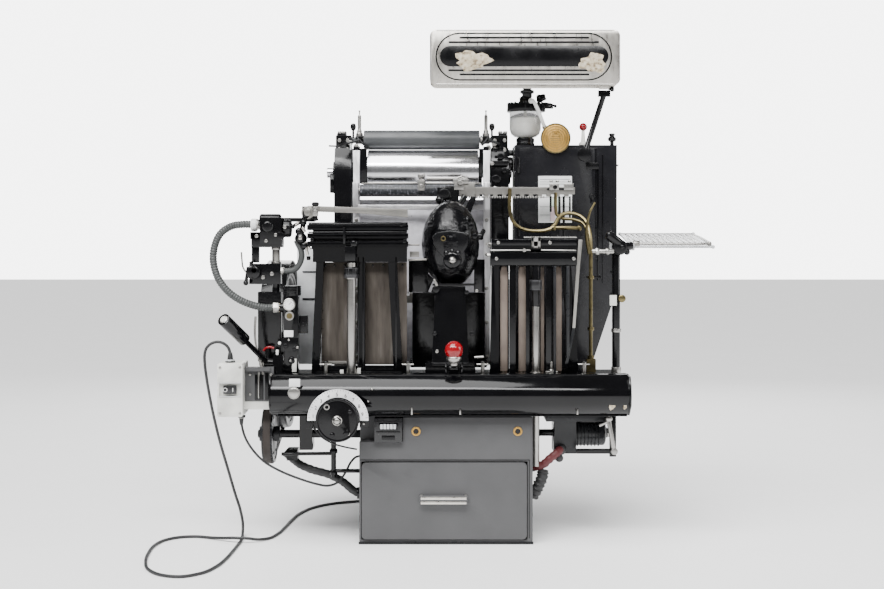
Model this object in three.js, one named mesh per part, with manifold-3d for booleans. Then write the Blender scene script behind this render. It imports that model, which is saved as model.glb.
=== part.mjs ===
// Floor-standing automatic platen press with rotating grippers, in millimetres, +Z up.
// X runs to the delivery side and +Y to the back. The pieces are drawn with Y counted from the front
// beam's plane, and the group that holds them is moved so that the origin is under the base's middle.
import * as THREE from "three";
import { mergeVertices } from "three/addons/utils/BufferGeometryUtils.js";
import Module from "manifold-3d";

const wasm = await Module();
wasm.setup();

// ---------------------------------------------------------------- driving dimensions
const GAP = 0.3; // between pieces that touch
const BASE = { x: [-290, 290], y: [12, 652], z: [0, 425] };
const BAY = { x: [-283, 272], y: [12, 406], z: [16, 276] }; // the drawer's space in the base
const BASE_BACK = { x: [-270, 270], y: [426, 652], z: [20, 405] }; // the hollow at its back, left open
const DECK = { x: [-560, 600], y: [36, 645], z: [425 + GAP, 485] }; // the frame's wide lower plate
const TABLE_TOP = 555; // top of the front table that carries both piles
const BEAM = { x: [-579, 606], front: -60, back: -12, foot: 34, z: [434, 569], wall: 9 };
const HUB = { x: 12, z: 999 }; // axis of the rotating grippers, along Y
const REAR = { y: [440, 650], left: [-408, -345], right: [168, 232] }; // the two rear side frames
const BED = { x: [-316, 139], y: [466, 560], z: [560, 1165] };
const DRUM = { y: 520, z: 1266, r: 85, x: [-287, 121], shaft: 19 };
const RIDER = { r: 36, x: [-303, 126], shaft: 11 };
const FORM = { y: 431, z: 1197, r: 22, x: [-312, 135], shaft: 8 };
const FLYWHEEL = { y: 470, z: 620, r: 290, x: [-622, -572], shaft: 20 };
const PULLEY = { y: 150, z: 350, r: 96, x: [-622, -589], shaft: 14 };
const FEED = { x: [-469, -128], front: 60, z: [942, 1077], column: { r: 15, at: [-319, 54] } };
const DELIVERY = { x: [155, 445], front: 60, z: [929, 1020], column: { r: 12, at: [304, 66] } };
const CABINET = { x: [254, 628], y: [450, 640], top: 1365 };
const LAMP = { x: [-57, 629], y: [365, 475], z: [1575, 1775], wall: 3, corner: 24 };
const LAMP_PIVOT = { x: 506, y: 428, z: 1328, half: 14 };
const TRAY = { post: [586, 150], near: 993, far: 1039, x: [645, 920], depth: 352, wire: 4 };
const SWITCH = { x: [-759, -675], y: [-20, 110], z: [430, 607] };
const CABLE_R = 5; // mains lead
const LEAD_R = 4; // lead from the switch to the base
const HOSE_R = 13; // ribbed suction hose

// ---------------------------------------------------------------- materials
const paint = (color, roughness, metalness) =>
  new THREE.MeshStandardMaterial({ color, roughness, metalness });
const BLACK = paint(0x101113, 0.25, 0.1);
const GREY = paint(0x6f7071, 0.5, 0.1);
const STEEL = paint(0xb9bbbd, 0.3, 0.9);
const DRUM_STEEL = paint(0xd0d2d4, 0.15, 1);
const ROLLER_RUBBER = paint(0x3c4347, 0.45, 0);
const RUBBER = paint(0x1b1b1b, 0.7, 0);
const HOSE_GREY = paint(0x55585a, 0.6, 0);
const BRASS = paint(0xb08a3a, 0.35, 0.9);
const RED = paint(0xc01020, 0.2, 0);
const PALE = paint(0xd9dbd4, 0.5, 0);
const NICKEL = paint(0xcfcac2, 0.3, 0.8);
const GLASS = paint(0xe6ebe8, 0.1, 0);
const LEATHER = paint(0x5a3a22, 0.7, 0);

// ---------------------------------------------------------------- shape helpers
const mid = ([a, b]) => (a + b) / 2;
const span = ([a, b]) => b - a;

// A closed three.js geometry as a solid that can be joined and cut.
function solid(geometry) {
  const flat = geometry.index ? geometry.toNonIndexed() : geometry;
  const bare = new THREE.BufferGeometry().setAttribute("position", flat.getAttribute("position"));
  const merged = mergeVertices(bare, 1e-4);
  const vertProperties = merged.attributes.position.array;
  return new wasm.Manifold(
    new wasm.Mesh({ numProp: 3, vertProperties, triVerts: new Uint32Array(merged.index.array) }),
  );
}

const join = (...solids) => solids.reduce((a, b) => a.add(b));
const cut = (body, ...tools) => tools.reduce((a, b) => a.subtract(b), body);

// A box between three ranges.
const block = (x, y, z) =>
  solid(new THREE.BoxGeometry(span(x), span(y), span(z)).translate(mid(x), mid(y), mid(z)));

// Turns a shape drawn in a plane, and its extrusion, to run along an axis of the part.
const basis = (...axes) =>
  new THREE.Matrix4().makeBasis(...axes.map((axis) => new THREE.Vector3(...axis)));
const TURN = {
  x: basis([0, 1, 0], [0, 0, 1], [1, 0, 0]),
  y: basis([1, 0, 0], [0, 0, 1], [0, -1, 0]),
  z: new THREE.Matrix4(),
};

// A shape extruded along an axis: its plane is YZ for x, XZ for y and XY for z.
function extrude(axis, shape, range, curveSegments = 8) {
  const depth = span(range);
  const geometry = new THREE.ExtrudeGeometry(shape, { depth, bevelEnabled: false, curveSegments });
  geometry.translate(0, 0, axis === "y" ? -range[1] : range[0]).applyMatrix4(TURN[axis]);
  return solid(geometry);
}

const prism = (axis, points, range) =>
  extrude(axis, new THREE.Shape(points.map(([a, b]) => new THREE.Vector2(a, b))), range);

// A cylinder along an axis; centre is its place in the two other axes, in X, Y, Z order.
function rod(axis, radius, range, centre, sides = 16) {
  const geometry = new THREE.CylinderGeometry(radius, radius, span(range), sides);
  if (axis === "x") geometry.rotateZ(-Math.PI / 2).translate(mid(range), ...centre);
  if (axis === "y") geometry.translate(centre[0], mid(range), centre[1]);
  if (axis === "z") geometry.rotateX(Math.PI / 2).translate(...centre, mid(range));
  return solid(geometry);
}

// A straight round bar between two points.
function bar(from, to, radius, sides = 12) {
  const a = new THREE.Vector3(...from);
  const b = new THREE.Vector3(...to);
  const geometry = new THREE.CylinderGeometry(radius, radius, a.distanceTo(b), sides);
  const way = b.clone().sub(a).normalize();
  const turn = new THREE.Quaternion().setFromUnitVectors(new THREE.Vector3(0, 1, 0), way);
  geometry.applyQuaternion(turn).translate(...a.add(b).multiplyScalar(0.5).toArray());
  return solid(geometry);
}

const ball = (radius, centre, across = 16, down = 10) =>
  solid(new THREE.SphereGeometry(radius, across, down).translate(...centre));

// A round tube that follows a smooth curve through points.
function pipe(points, radius, steps, sides = 8) {
  const section = new THREE.Shape();
  section.absarc(0, 0, radius, 0, Math.PI * 2);
  const knots = points.map((p) => new THREE.Vector3(...p));
  const curve = new THREE.CatmullRomCurve3(knots, false, "centripetal");
  const round = new THREE.Shape(section.getSpacedPoints(sides).slice(0, sides));
  return solid(new THREE.ExtrudeGeometry(round, { steps, extrudePath: curve, bevelEnabled: false }));
}

// A rectangle with round corners, as a shape.
function roundedRectangle([x0, x1], [y0, y1], radius) {
  const shape = new THREE.Shape();
  shape.absarc(x1 - radius, y0 + radius, radius, -Math.PI / 2, 0);
  shape.absarc(x1 - radius, y1 - radius, radius, 0, Math.PI / 2);
  shape.absarc(x0 + radius, y1 - radius, radius, Math.PI / 2, Math.PI);
  shape.absarc(x0 + radius, y0 + radius, radius, Math.PI, Math.PI * 1.5);
  return shape;
}

// A turned body: profile is [radius, height] pairs from the axis to the axis, upwards, about Z.
function turned(profile, centre, sides = 24) {
  const points = profile.map(([r, h]) => new THREE.Vector2(r, h));
  return solid(new THREE.LatheGeometry(points, sides).rotateX(Math.PI / 2).translate(...centre));
}

const press = new THREE.Group();
const pieces = new THREE.Group();
pieces.position.y = -mid(BASE.y);
press.add(pieces);

// Adds a named mesh whose geometry is modelled about its own centre.
function piece(name, material, made, centre = [0, 0, 0]) {
  const local = made.translate(centre.map((c) => -c));
  const { vertProperties, triVerts } = local.getMesh();
  const geometry = new THREE.BufferGeometry()
    .setAttribute("position", new THREE.BufferAttribute(new Float32Array(vertProperties), 3))
    .setIndex(new THREE.BufferAttribute(new Uint32Array(triVerts), 1));
  geometry.computeVertexNormals();
  const mesh = new THREE.Mesh(geometry, material);
  mesh.name = name;
  mesh.position.set(...centre);
  pieces.add(mesh);
}

// ---------------------------------------------------------------- base and frame
function base() {
  const shell = block(BASE.x, BASE.y, BASE.z);
  const bay = block(BAY.x, [BAY.y[0] - 1, BAY.y[1]], BAY.z);
  const notch = block([-291, -145], [11, 60], [343, 426]); // holds the counter
  const hollow = block(BASE_BACK.x, [BASE_BACK.y[0], BASE_BACK.y[1] + 1], BASE_BACK.z);
  piece("base_casting", GREY, cut(shell, bay, notch, hollow));

  const panel = roundedRectangle([BAY.x[0] + 2, BAY.x[1] - 2], [BAY.z[0] + 2, BAY.z[1] - 2], 14);
  const front = extrude("y", panel, [4, 16], 4);
  const box = cut(
    block([-272, 262], [15, 400], [22, 230]),
    block([-268, 258], [19, 396], [26, 231]),
  );
  const grip = cut(block([-88, 72], [-18, 5], [138, 166]), block([-84, 68], [-14, 5], [137, 150]));
  piece("tool_drawer", GREY, join(front, box, grip), [0, 16, 150]);
}

function frame() {
  const table = block([-560, 600], [36, 322], [525, TABLE_TOP]);
  const riser = block([-285, 285], [36, 322], [484, 526]);
  const ends = [-500, 520].map((x) => block([x, x + 30], [60, 300], [484, 526]));
  const leverBearing = block([-581.7, -550], [37, 90], [530, 630]);
  const shaftHanger = block([-500, -456], [110, 190], [300, 430]);
  const shaftHole = rod("x", PULLEY.shaft + 1, [-501, -455], [PULLEY.y, PULLEY.z], 16);
  const columnHole = rod("z", DELIVERY.column.r + 1, [400, 600], DELIVERY.column.at, 16);
  const casting = join(block(DECK.x, DECK.y, DECK.z), riser, table, ...ends, leverBearing, shaftHanger);
  piece("main_frame", BLACK, cut(casting, shaftHole, columnHole));

  // The front beam is a channel with a bulging face, open at the back, with two lugs for the lever on top.
  const { front, back, foot, z, wall } = BEAM;
  const bulge = (inset) => {
    const ends = [new THREE.Vector2(back, z[0] + inset), new THREE.Vector2(back, z[1] - inset)];
    const control = new THREE.Vector2(2 * (front + inset) - back, mid(z));
    return new THREE.QuadraticBezierCurve(ends[0], control, ends[1]).getPoints(8);
  };
  const corner = (y, height) => new THREE.Vector2(y, height);
  const outline = [
    corner(foot, z[0]), ...bulge(0), corner(foot, z[1]),
    corner(foot, z[1] - wall), ...bulge(wall).reverse(), corner(foot, z[0] + wall),
  ];
  const lugs = [2, 42].map((x) => block([x, x + 8], [-10, 26], [z[1] - 2, z[1] + 32]));
  piece("front_beam", BLACK, join(extrude("x", new THREE.Shape(outline), BEAM.x), ...lugs));
}


function rearFrames() {
  const outline = [
    [REAR.y[0], DECK.z[1] + GAP], [REAR.y[1], DECK.z[1] + GAP],
    [REAR.y[1], 980], [622, 1200], [600, 1340],
    [585, 1356], [474, 1356], [448, 1310], [436, 1230], [REAR.y[0], 1120],
  ];
  const bearing = (x) => join(
    rod("x", 42, x, [DRUM.y, DRUM.z], 20),
    block([x[0] + 10, x[1] - 10], [494, 546], [1340, 1404]),
  );
  const holes = (x) => [
    rod("x", DRUM.shaft + 1, [x[0] - 9, x[1] + 9], [DRUM.y, DRUM.z], 16),
    rod("x", RIDER.shaft + 1, [x[0] - 9, x[1] + 9], [DRUM.y, DRUM.z + DRUM.r + RIDER.r + 1], 12),
  ];
  const left = join(prism("x", outline, REAR.left), bearing([REAR.left[0] - 8, REAR.left[1] + 5]));
  const shaftHole = rod("x", FLYWHEEL.shaft + 1, [-420, -330], [FLYWHEEL.y, FLYWHEEL.z], 16);
  piece("rear_frame_left", BLACK, cut(left, ...holes(REAR.left), shaftHole));
  const right = join(prism("x", outline, REAR.right), bearing([REAR.right[0] - 5, REAR.right[1] + 8]));
  piece("rear_frame_right", BLACK, cut(right, ...holes(REAR.right)));

  const ribs = [-240, -89, 62].map((x) => block([x - 8, x + 8], [559, 600], [580, 1140]));
  const rails = [[-339, -315], [138, 162]].map((x) => block(x, [446, 480], [BED.z[0], 1345]));
  piece("type_bed", STEEL, join(block(BED.x, BED.y, BED.z), ...ribs, ...rails));
}

// ---------------------------------------------------------------- inking
function inking() {
  const drum = join(
    rod("x", DRUM.r, DRUM.x, [DRUM.y, DRUM.z], 40),
    rod("x", 60, [DRUM.x[0] - 12, DRUM.x[1] + 12], [DRUM.y, DRUM.z], 20),
    rod("x", DRUM.shaft, [-440, 246], [DRUM.y, DRUM.z], 16),
  );
  piece("ink_drum", DRUM_STEEL, drum, [0, DRUM.y, DRUM.z]);
  const riderZ = DRUM.z + DRUM.r + RIDER.r + 1;
  const rider = join(
    rod("x", RIDER.r, RIDER.x, [DRUM.y, riderZ], 32),
    rod("x", RIDER.shaft, [-404, 228], [DRUM.y, riderZ], 16),
  );
  piece("rider_roller", ROLLER_RUBBER, rider, [0, DRUM.y, riderZ]);

  const form = join(
    rod("x", FORM.r, FORM.x, [FORM.y, FORM.z], 24),
    rod("x", FORM.shaft, [-334, 157], [FORM.y, FORM.z], 12),
  );
  piece("form_roller", ROLLER_RUBBER, form, [0, FORM.y, FORM.z]);
  const arm = (x) => cut(
    block(x, [410, 445], [FORM.z - 70, FORM.z + 30]),
    rod("x", FORM.shaft + 1, [x[0] - 1, x[1] + 1], [FORM.y, FORM.z], 16),
  );
  const tie = block([-338, 161], [412, 426], [FORM.z - 70, FORM.z - 52]);
  piece("roller_carriage", STEEL, join(arm([-338, -318]), arm([141, 161]), tie), [0, FORM.y, FORM.z]);
}

// ---------------------------------------------------------------- platen and rotating grippers
function impression() {
  const plate = block([-118, 138], [262, 318], [572, 832]);
  const rib = prism("x", [[262, 590], [240, 620], [240, 760], [262, 820]], [-20, 40]);
  const trunnion = rod("x", 16, [-126, 146], [300, 580], 16);
  piece("platen", BLACK, join(plate, rib, trunnion), [0, 300, 580]);
}

function grippers() {
  const foot = block([-70, 100], [70, 185], [TABLE_TOP + GAP, 600]);
  const column = prism("y", [[-48, 599], [78, 599], [66, 860], [-36, 860]], [86, 176]);
  piece("hub_pedestal", BLACK, join(foot, column));

  const shell = solid(new THREE.SphereGeometry(1, 24, 14).scale(101, 118, 152).translate(16, 190, 1002));
  const flange = rod("y", 74, [288, 322], [HUB.x, HUB.z], 28);
  const seat = block([-60, 90], [60, 190], [820, 860 + GAP]);
  const bore = rod("y", 27, [250, 323], [HUB.x, HUB.z], 20);
  piece("hub_housing", BLACK, cut(join(shell, flange), seat, bore), [HUB.x, 190, HUB.z]);

  // Two arms half a turn apart, each with a brace, on one boss and shaft.
  const y = [342, 372];
  const limb = prism("y", [[-38, 30], [-14, 176], [-14, 212], [34, 212], [34, 176], [38, 20]], y);
  const brace = prism("y", [[16, 40], [78, 173.7], [100, 173.7], [44, 30]], y);
  const half = (angle) => join(limb, brace).rotate([0, angle, 0]);
  const boss = rod("y", 62, [335, 388], [0, 0], 28);
  const spider = join(half(0), half(180), boss, rod("y", 25, [254, 336], [0, 0], 20));
  piece("gripper_spider", BLACK, spider.translate([HUB.x, 0, HUB.z]), [HUB.x, 360, HUB.z]);

  // A toothed gripper bar; its fingers hang from the lower edge.
  const finger = (i) => block([62 + i * 32, 78 + i * 32], [348, 366], [174, 184]);
  const fingers = Array.from({ length: 12 }, (_, i) => finger(i));
  const clamp = block([36, 92], [344, 392], [174, 226]);
  const barShape = join(block([36, 452], [348, 378], [182, 208]), clamp, ...fingers);
  const names = ["gripper_bar_upper", "gripper_bar_lower"];
  names.forEach((name, i) => {
    const turned = barShape.rotate([0, i * 180, 0]).translate([HUB.x, 0, HUB.z]);
    piece(name, STEEL, turned, [HUB.x, 360, HUB.z]);
  });
}

// ---------------------------------------------------------------- feed side
// A board behind a pile's head. Its arm runs forward to a nut on the column that guides it.
function pileBoard(name, columnR, [columnX, columnY], x, z, halfArm) {
  const board = block(x, [150, 304], z);
  const armY = [columnY + columnR + 4, 190];
  const arm = block([columnX - halfArm, columnX + halfArm], armY, [z[0] - 80, z[0] - 62]);
  const web = block([columnX - halfArm, columnX + halfArm], [152, 190], [z[0] - 64, z[0] + 1]);
  const nut = cut(
    rod("z", columnR + 9, [z[0] - 96, z[0] - 62], [columnX, columnY], 20),
    rod("z", columnR + 1, [z[0] - 97, z[0] - 61], [columnX, columnY], 20),
  );
  piece(name, BLACK, join(board, arm, web, nut), [columnX, columnY, z[0]]);
}

function feed() {
  const { x, front, z, column } = FEED;
  const leaf = (i) => block(x, [front - 6 + i * 5, 136], [1050 - i * 28, 1068 - i * 28]);
  const leaves = [0, 1, 2].map(leaf);
  const back = block([x[0] + 18, x[1] - 4], [front + 14, 132], [z[0], z[1] - 10]);
  const lip = block([x[0] + 4, x[1] - 2], [front + 6, 136], [1066, z[1]]);
  const upright = (bottom, top, wide) => prism("y", [
    [bottom, TABLE_TOP + GAP], [bottom + wide, TABLE_TOP + GAP], [top + wide, z[0] + 1], [top, z[0] + 1],
  ], [76, 108]);
  const sill = block([-452, -130], [78, 106], [TABLE_TOP + GAP, 590]);
  const legs = [upright(-456, -440, 26), upright(-300, -300, 26), upright(-176, -196, 30)];
  piece("feed_frame", BLACK, join(back, lip, ...leaves, ...legs, sill));

  const plate = block([-424, -133], [112, 116], [592, z[0] - 1]);
  const slot = block([-337, -301], [111, 117], [606, z[0]]);
  piece("feed_guide_plate", STEEL, cut(plate, slot));
  piece("feed_column", STEEL, rod("z", column.r, [TABLE_TOP + GAP, z[0] - 2], column.at, 20));
  pileBoard("feed_board", column.r, column.at, [x[0] + 6, x[1] - 6], [985, 1003], 16);
}

// ---------------------------------------------------------------- delivery side
function delivery() {
  const { x, front, z, column } = DELIVERY;
  const head = join(
    block(x, [front - 4, 132], [986, z[1]]),
    block([x[0] + 8, x[1] - 6], [front + 10, 128], [z[0], 987]),
  );
  const left = prism("y", [[149, 556], [181, 556], [179, z[0] + 1], [157, z[0] + 1]], [72, 116]);
  const right = prism("y", [[418, 556], [450, 556], [424, z[0] + 1], [396, z[0] + 1]], [72, 116]);
  const sill = block([150, 449], [112, 138], [TABLE_TOP + GAP, 575]);
  piece("delivery_frame", BLACK, join(head, left, right, sill));

  const rods = [[197, 12], [259, 12], [328, 6], [381, 12]];
  const stand = block([184, 394], [90, 110], [TABLE_TOP + GAP, TABLE_TOP + 9]);
  const grid = rods.map(([at, r]) => rod("z", r, [TABLE_TOP + 8, z[0] - 1], [at, 100], 12));
  piece("delivery_grid", STEEL, join(stand, ...grid));
  piece("delivery_column", STEEL, rod("z", column.r, [252, z[0] - 2], column.at, 16));
  pileBoard("delivery_board", column.r, column.at, [164, 438], [944, 958], 16);
}

// ---------------------------------------------------------------- cabinet, spray unit and lamp
function cabinet() {
  const { x, y, top } = CABINET;
  const foot = DECK.z[1] + GAP;
  const outline = [[x[0], foot], [500, foot], [529, 540], [606, 771], [x[1], 800], [x[1], top], [x[0], top]];
  const panel = roundedRectangle([x[0] + 14, 548], [1000, top - 12], 10);
  const door = extrude("y", panel, [y[0] - 6, y[0] + 1], 3);
  const seat = [LAMP_PIVOT.y + LAMP_PIVOT.half + GAP, y[0] + 1];
  const pivot = rod("y", 26, seat, [LAMP_PIVOT.x, LAMP_PIVOT.z], 20);
  const jarFoot = rod("z", 33, [top - 1, 1388 - GAP], [296, 520], 20);
  const hollow = block([x[0] + 12, 488], [y[0] + 12, y[1] + 1], [500, top - 12]);
  piece("side_cabinet", BLACK, cut(join(prism("y", outline, y), door, pivot, jarFoot), hollow));

  const at = [296, 520, 0];
  const bottom = [[0, 1388], [22, 1388], [24, 1396], [40, 1400], [52, 1410], [58, 1426]];
  const jar = [...bottom, [59, 1491], [0, 1491]];
  piece("spray_jar", GLASS, turned(jar, at, 28), [296, 520, 1440]);
  const cap = [[30, 1526], [22, 1530], [22, 1545], [14, 1552], [0, 1552]];
  const lid = [[0, 1492], [68, 1492], [68, 1522], ...cap];
  const cock = join(turned(lid, at, 28), rod("x", 8, [340, 400], [520, 1512], 10));
  piece("jar_lid", BLACK, cock);

  const disc = rod("y", 55, [436, 442], [402, 1389], 32);
  const stem = block([392, 412], [440, 443.4], [1345, 1389]);
  piece("brass_plate", BRASS, join(disc, stem));
}

function sprayLever() {
  const at = [507, 480];
  const foot = [...at, 1375];
  const stick = rod("z", 4, [1370, 1420], at, 10);
  piece("spray_lever", RED, join(stick, ball(15, [...at, 1434], 12, 8), ball(9, foot, 8, 5)), foot);
}

function lamp() {
  const { x: px, y: py, z: pz, half } = LAMP_PIVOT;
  const boss = rod("y", 24, [py - half, py + half], [px, pz], 20);
  const arm = bar([px, py, pz], [578, py, 1548], 10, 12);
  const fork = block([556, 600], [py - 10, py + 10], [1540, 1562]);
  piece("lamp_arm", BLACK, join(boss, arm, fork), [px, py, pz]);

  const { x, y, z, wall, corner } = LAMP;
  const inner = [[x[0] + wall, x[1] - wall], [z[0] - 40, z[1] - wall]];
  const outer = extrude("y", roundedRectangle(x, z, corner), y, 5);
  const hollow = extrude("y", roundedRectangle(...inner, corner - wall), [y[0] + wall, y[1] - wall], 5);
  const lug = block([560, 596], [py - 9, py + 9], [1568, 1600]);
  const hanger = block([560, 596], [py - 9, y[1] - 1], [1590, 1600]);
  piece("lamp_hood", NICKEL, join(cut(outer, hollow), lug, hanger), [578, py, 1568]);
}

// ---------------------------------------------------------------- sheet tray and blower tubes on the right
function tray() {
  const [px, py] = TRAY.post;
  piece("tray_post", BLACK, rod("z", 14, [TABLE_TOP + GAP, 972], [px, py], 16));

  const farY = py + TRAY.depth;
  const corners = [
    [TRAY.x[0], py, TRAY.near], [TRAY.x[1], py, TRAY.near],
    [TRAY.x[1] - 3, farY, TRAY.far], [TRAY.x[0], farY, TRAY.far],
  ];
  const wires = corners.map((c, i) => bar(c, corners[(i + 1) % 4], TRAY.wire, 6));
  const joints = corners.map((c) => ball(TRAY.wire + 3, c, 8, 5));
  const slope = Math.atan2(TRAY.far - TRAY.near, TRAY.depth);
  const sheet = block([TRAY.x[0], TRAY.x[1] - 3], [0, TRAY.depth / Math.cos(slope)], [-1, 1])
    .rotate([THREE.MathUtils.radToDeg(slope), 0, 0])
    .translate([0, py, TRAY.near]);
  const clamp = join(
    rod("z", 24, [972 + GAP, 1016], [px, py], 20),
    bar([px, py, TRAY.near], [TRAY.x[0] + 4, py, TRAY.near], 12, 12),
  );
  piece("wire_tray", NICKEL, join(...wires, ...joints, sheet, clamp), [px, py, TRAY.near]);
}

// A brass tube that loops behind the delivery head and comes down to the table.
function blower() {
  const route = [
    [228, 306, 1200], [228, 304, 1120], [240, 302, 1080], [272, 301, 1056], [320, 300, 1048],
    [372, 301, 1056], [396, 302, 1084], [402, 302, 1100], [424, 298, 1112], [466, 292, 1108],
    [496, 276, 1084], [506, 256, 1050],
    [508, 238, 1000], [508, 231, 940], [508, 231, 760], [508, 231, 590],
  ];
  const foot = block([492, 524], [215, 247], [TABLE_TOP + GAP, 600]);
  piece("blower_tube", BRASS, join(pipe(route, 7, 42, 8), foot));
}

// ---------------------------------------------------------------- drive on the left
// The outline of a belt's loop round two pulleys.
function beltLoop(big, small, extra, sides) {
  const apart = Math.hypot(small.y - big.y, small.z - big.z);
  const along = Math.atan2(small.z - big.z, small.y - big.y);
  const lean = Math.acos((big.r - small.r) / apart);
  const arc = ({ y, z, r }, from, to) => Array.from({ length: sides + 1 }, (_, i) => {
    const angle = from + ((to - from) * i) / sides;
    return new THREE.Vector2(y + (r + extra) * Math.cos(angle), z + (r + extra) * Math.sin(angle));
  });
  return new THREE.Shape([
    ...arc(big, along + lean, along + 2 * Math.PI - lean),
    ...arc(small, along - lean, along + lean),
  ]);
}

function drive() {
  // The flywheel is a rim on a solid web, turned with its shaft as one piece.
  const { y, z, r, x } = FLYWHEEL;
  const web = 14;
  const sides = [[x[0] - 1, x[0] + web], [x[1] - web, x[1] + 1]];
  const recess = sides.map((side) => rod("x", r - 34, side, [y, z], 48));
  const wheel = cut(rod("x", r, x, [y, z], 48), ...recess);
  const hub = rod("x", 48, [x[0] - 6, x[1] + 20], [y, z], 24);
  const shaft = rod("x", FLYWHEEL.shaft, [-648, -342], [y, z], 16);
  piece("flywheel", BLACK, join(wheel, hub, shaft), [mid(x), y, z]);

  const belt = cut(
    extrude("x", beltLoop(FLYWHEEL, PULLEY, 5.5, 24), [-618, -593]),
    extrude("x", beltLoop(FLYWHEEL, PULLEY, 2, 24), [-619, -592]),
  );
  piece("drive_belt", LEATHER, belt);

  const guardShape = new THREE.Shape();
  guardShape.absarc(y, z, 322, THREE.MathUtils.degToRad(15), THREE.MathUtils.degToRad(172), false);
  guardShape.absarc(y, z, 317, THREE.MathUtils.degToRad(172), THREE.MathUtils.degToRad(15), true);
  const band = extrude("x", guardShape, [-648, -562], 14);
  const flange = block([-568, -560 - GAP], [153, 320], [528, 700]);
  piece("flywheel_guard", BLACK, join(band, flange));

  const ribs = [0, 1, 2].map((i) => [x[0] + i * 12.5, x[0] + 8 + i * 12.5]);
  const grooved = join(...ribs.map((at) => rod("x", PULLEY.r, at, [PULLEY.y, PULLEY.z], 24)));
  const core = rod("x", PULLEY.r - 5, PULLEY.x, [PULLEY.y, PULLEY.z], 24);
  const pulleyShaft = rod("x", PULLEY.shaft, [-646, BASE.x[0] - 1], [PULLEY.y, PULLEY.z], 14);
  const boss = rod("x", 26, [-640, -570], [PULLEY.y, PULLEY.z], 16);
  const middle = [mid(PULLEY.x), PULLEY.y, PULLEY.z];
  piece("variator_pulley", STEEL, join(grooved, core, pulleyShaft, boss), middle);

  const motor = join(
    rod("x", 43, [440, 541], [150, 354], 28),
    block([369, 443], [92, 208], [290, DECK.z[0] - 22]),
    block([340, 552], [84, 216], [400, DECK.z[0] - GAP]),
    rod("x", 12, [BASE.x[1] + 1, 372], [150, 354], 12),
  );
  piece("drive_motor", GREY, motor);
  const stay = join(
    block([440, 560], [54, 66], [296, 312]),
    block([552, 574], [54, 66], [286, DECK.z[0] - GAP]),
  );
  piece("motor_stay", STEEL, stay);
}

// ---------------------------------------------------------------- hand controls
function controls() {
  // The lever turns on a barrel between the lugs on the beam.
  const pivot = [26, 8, 588];
  const barrel = rod("x", 9, [10 + GAP, 42 - GAP], [pivot[1], pivot[2]], 14);
  const stem = bar(pivot, [26, -30, 636], 7, 10);
  piece("impression_lever", RED, join(barrel, stem, ball(30, [26, -41, 653], 16, 10)), pivot);

  const root = [-600, 60, 600];
  const tip = [-717, -150, 761];
  const at = (t) => root.map((c, i) => c + (tip[i] - c) * t);
  const boss = rod("x", 20, [-618, -582], [root[1], root[2]], 18);
  piece("brake_lever", BLACK, join(bar(root, at(0.62), 9, 12), bar(at(0.55), tip, 21, 16), boss), root);

  const dial = [-354, 429];
  const face = rod("y", 70, [-104, -84], dial, 40);
  const nut = rod("y", 14, [-118, -103], dial, 6);
  const grip = rod("y", 9, [-140, -103], [dial[0] + 32, dial[1] - 38], 12);
  piece("speed_dial", BLACK, join(face, nut, grip), [dial[0], -94, dial[1]]);
  const scale = new THREE.Shape();
  scale.absarc(...dial, 101, 0.16, Math.PI - 0.16, false);
  scale.lineTo(dial[0] - 60, dial[1] - 20);
  scale.lineTo(dial[0] + 60, dial[1] - 20);
  const pad = block([dial[0] - 30, dial[0] + 30], [-79, BEAM.front - GAP], [490, 513]);
  piece("dial_plate", PALE, join(extrude("y", scale, [-82, -78], 14), pad));

  piece("impression_counter", BLACK, block([-238.7, -146], [-6, 59], [343.5, 424]));
}

function clampScrews() {
  const places = {
    feed_clamp_left: [-405, 52], feed_clamp_right: [-128, 52],
    delivery_clamp_left: [124, 56], delivery_clamp_right: [466, 56],
  };
  for (const [name, [x, y]] of Object.entries(places)) {
    const shank = rod("z", 6.5, [TABLE_TOP + GAP, 604], [x, y], 12);
    const cross = rod("x", 3.5, [x - 20, x + 20], [y, 597], 8);
    piece(name, STEEL, join(shank, cross), [x, y, TABLE_TOP + GAP]);
  }
}

// ---------------------------------------------------------------- electrics
function electrics() {
  const { x, y, z } = SWITCH;
  const box = extrude("y", roundedRectangle(x, z, 6), y, 3);
  const window = block([x[0] + 6, x[1] - 6], [y[0] - 1, y[0] + 9], [499, 541]);
  const gland = rod("z", 11, [z[1] - 1, z[1] + 10], [-722, 20], 12);
  const lowerGland = rod("z", 10, [z[0] - 10, z[0] + 1], [-686, 30], 12);
  const bracket = block([x[1] - 1, BEAM.x[0] - GAP], [27, 33], [449, 580]);
  piece("switch_box", PALE, join(cut(box, window), gland, lowerGland, bracket));
  const shape = prism("z", [[-22, 0], [0, -4], [22, 0], [22, 3], [-22, 3]], [506, 534]);
  const rocker = shape.translate([mid(x), y[0] + 1, 0]);
  piece("rocker_switch", BRASS, rocker, [mid(x), y[0] + 5, 520]);
}

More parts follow.
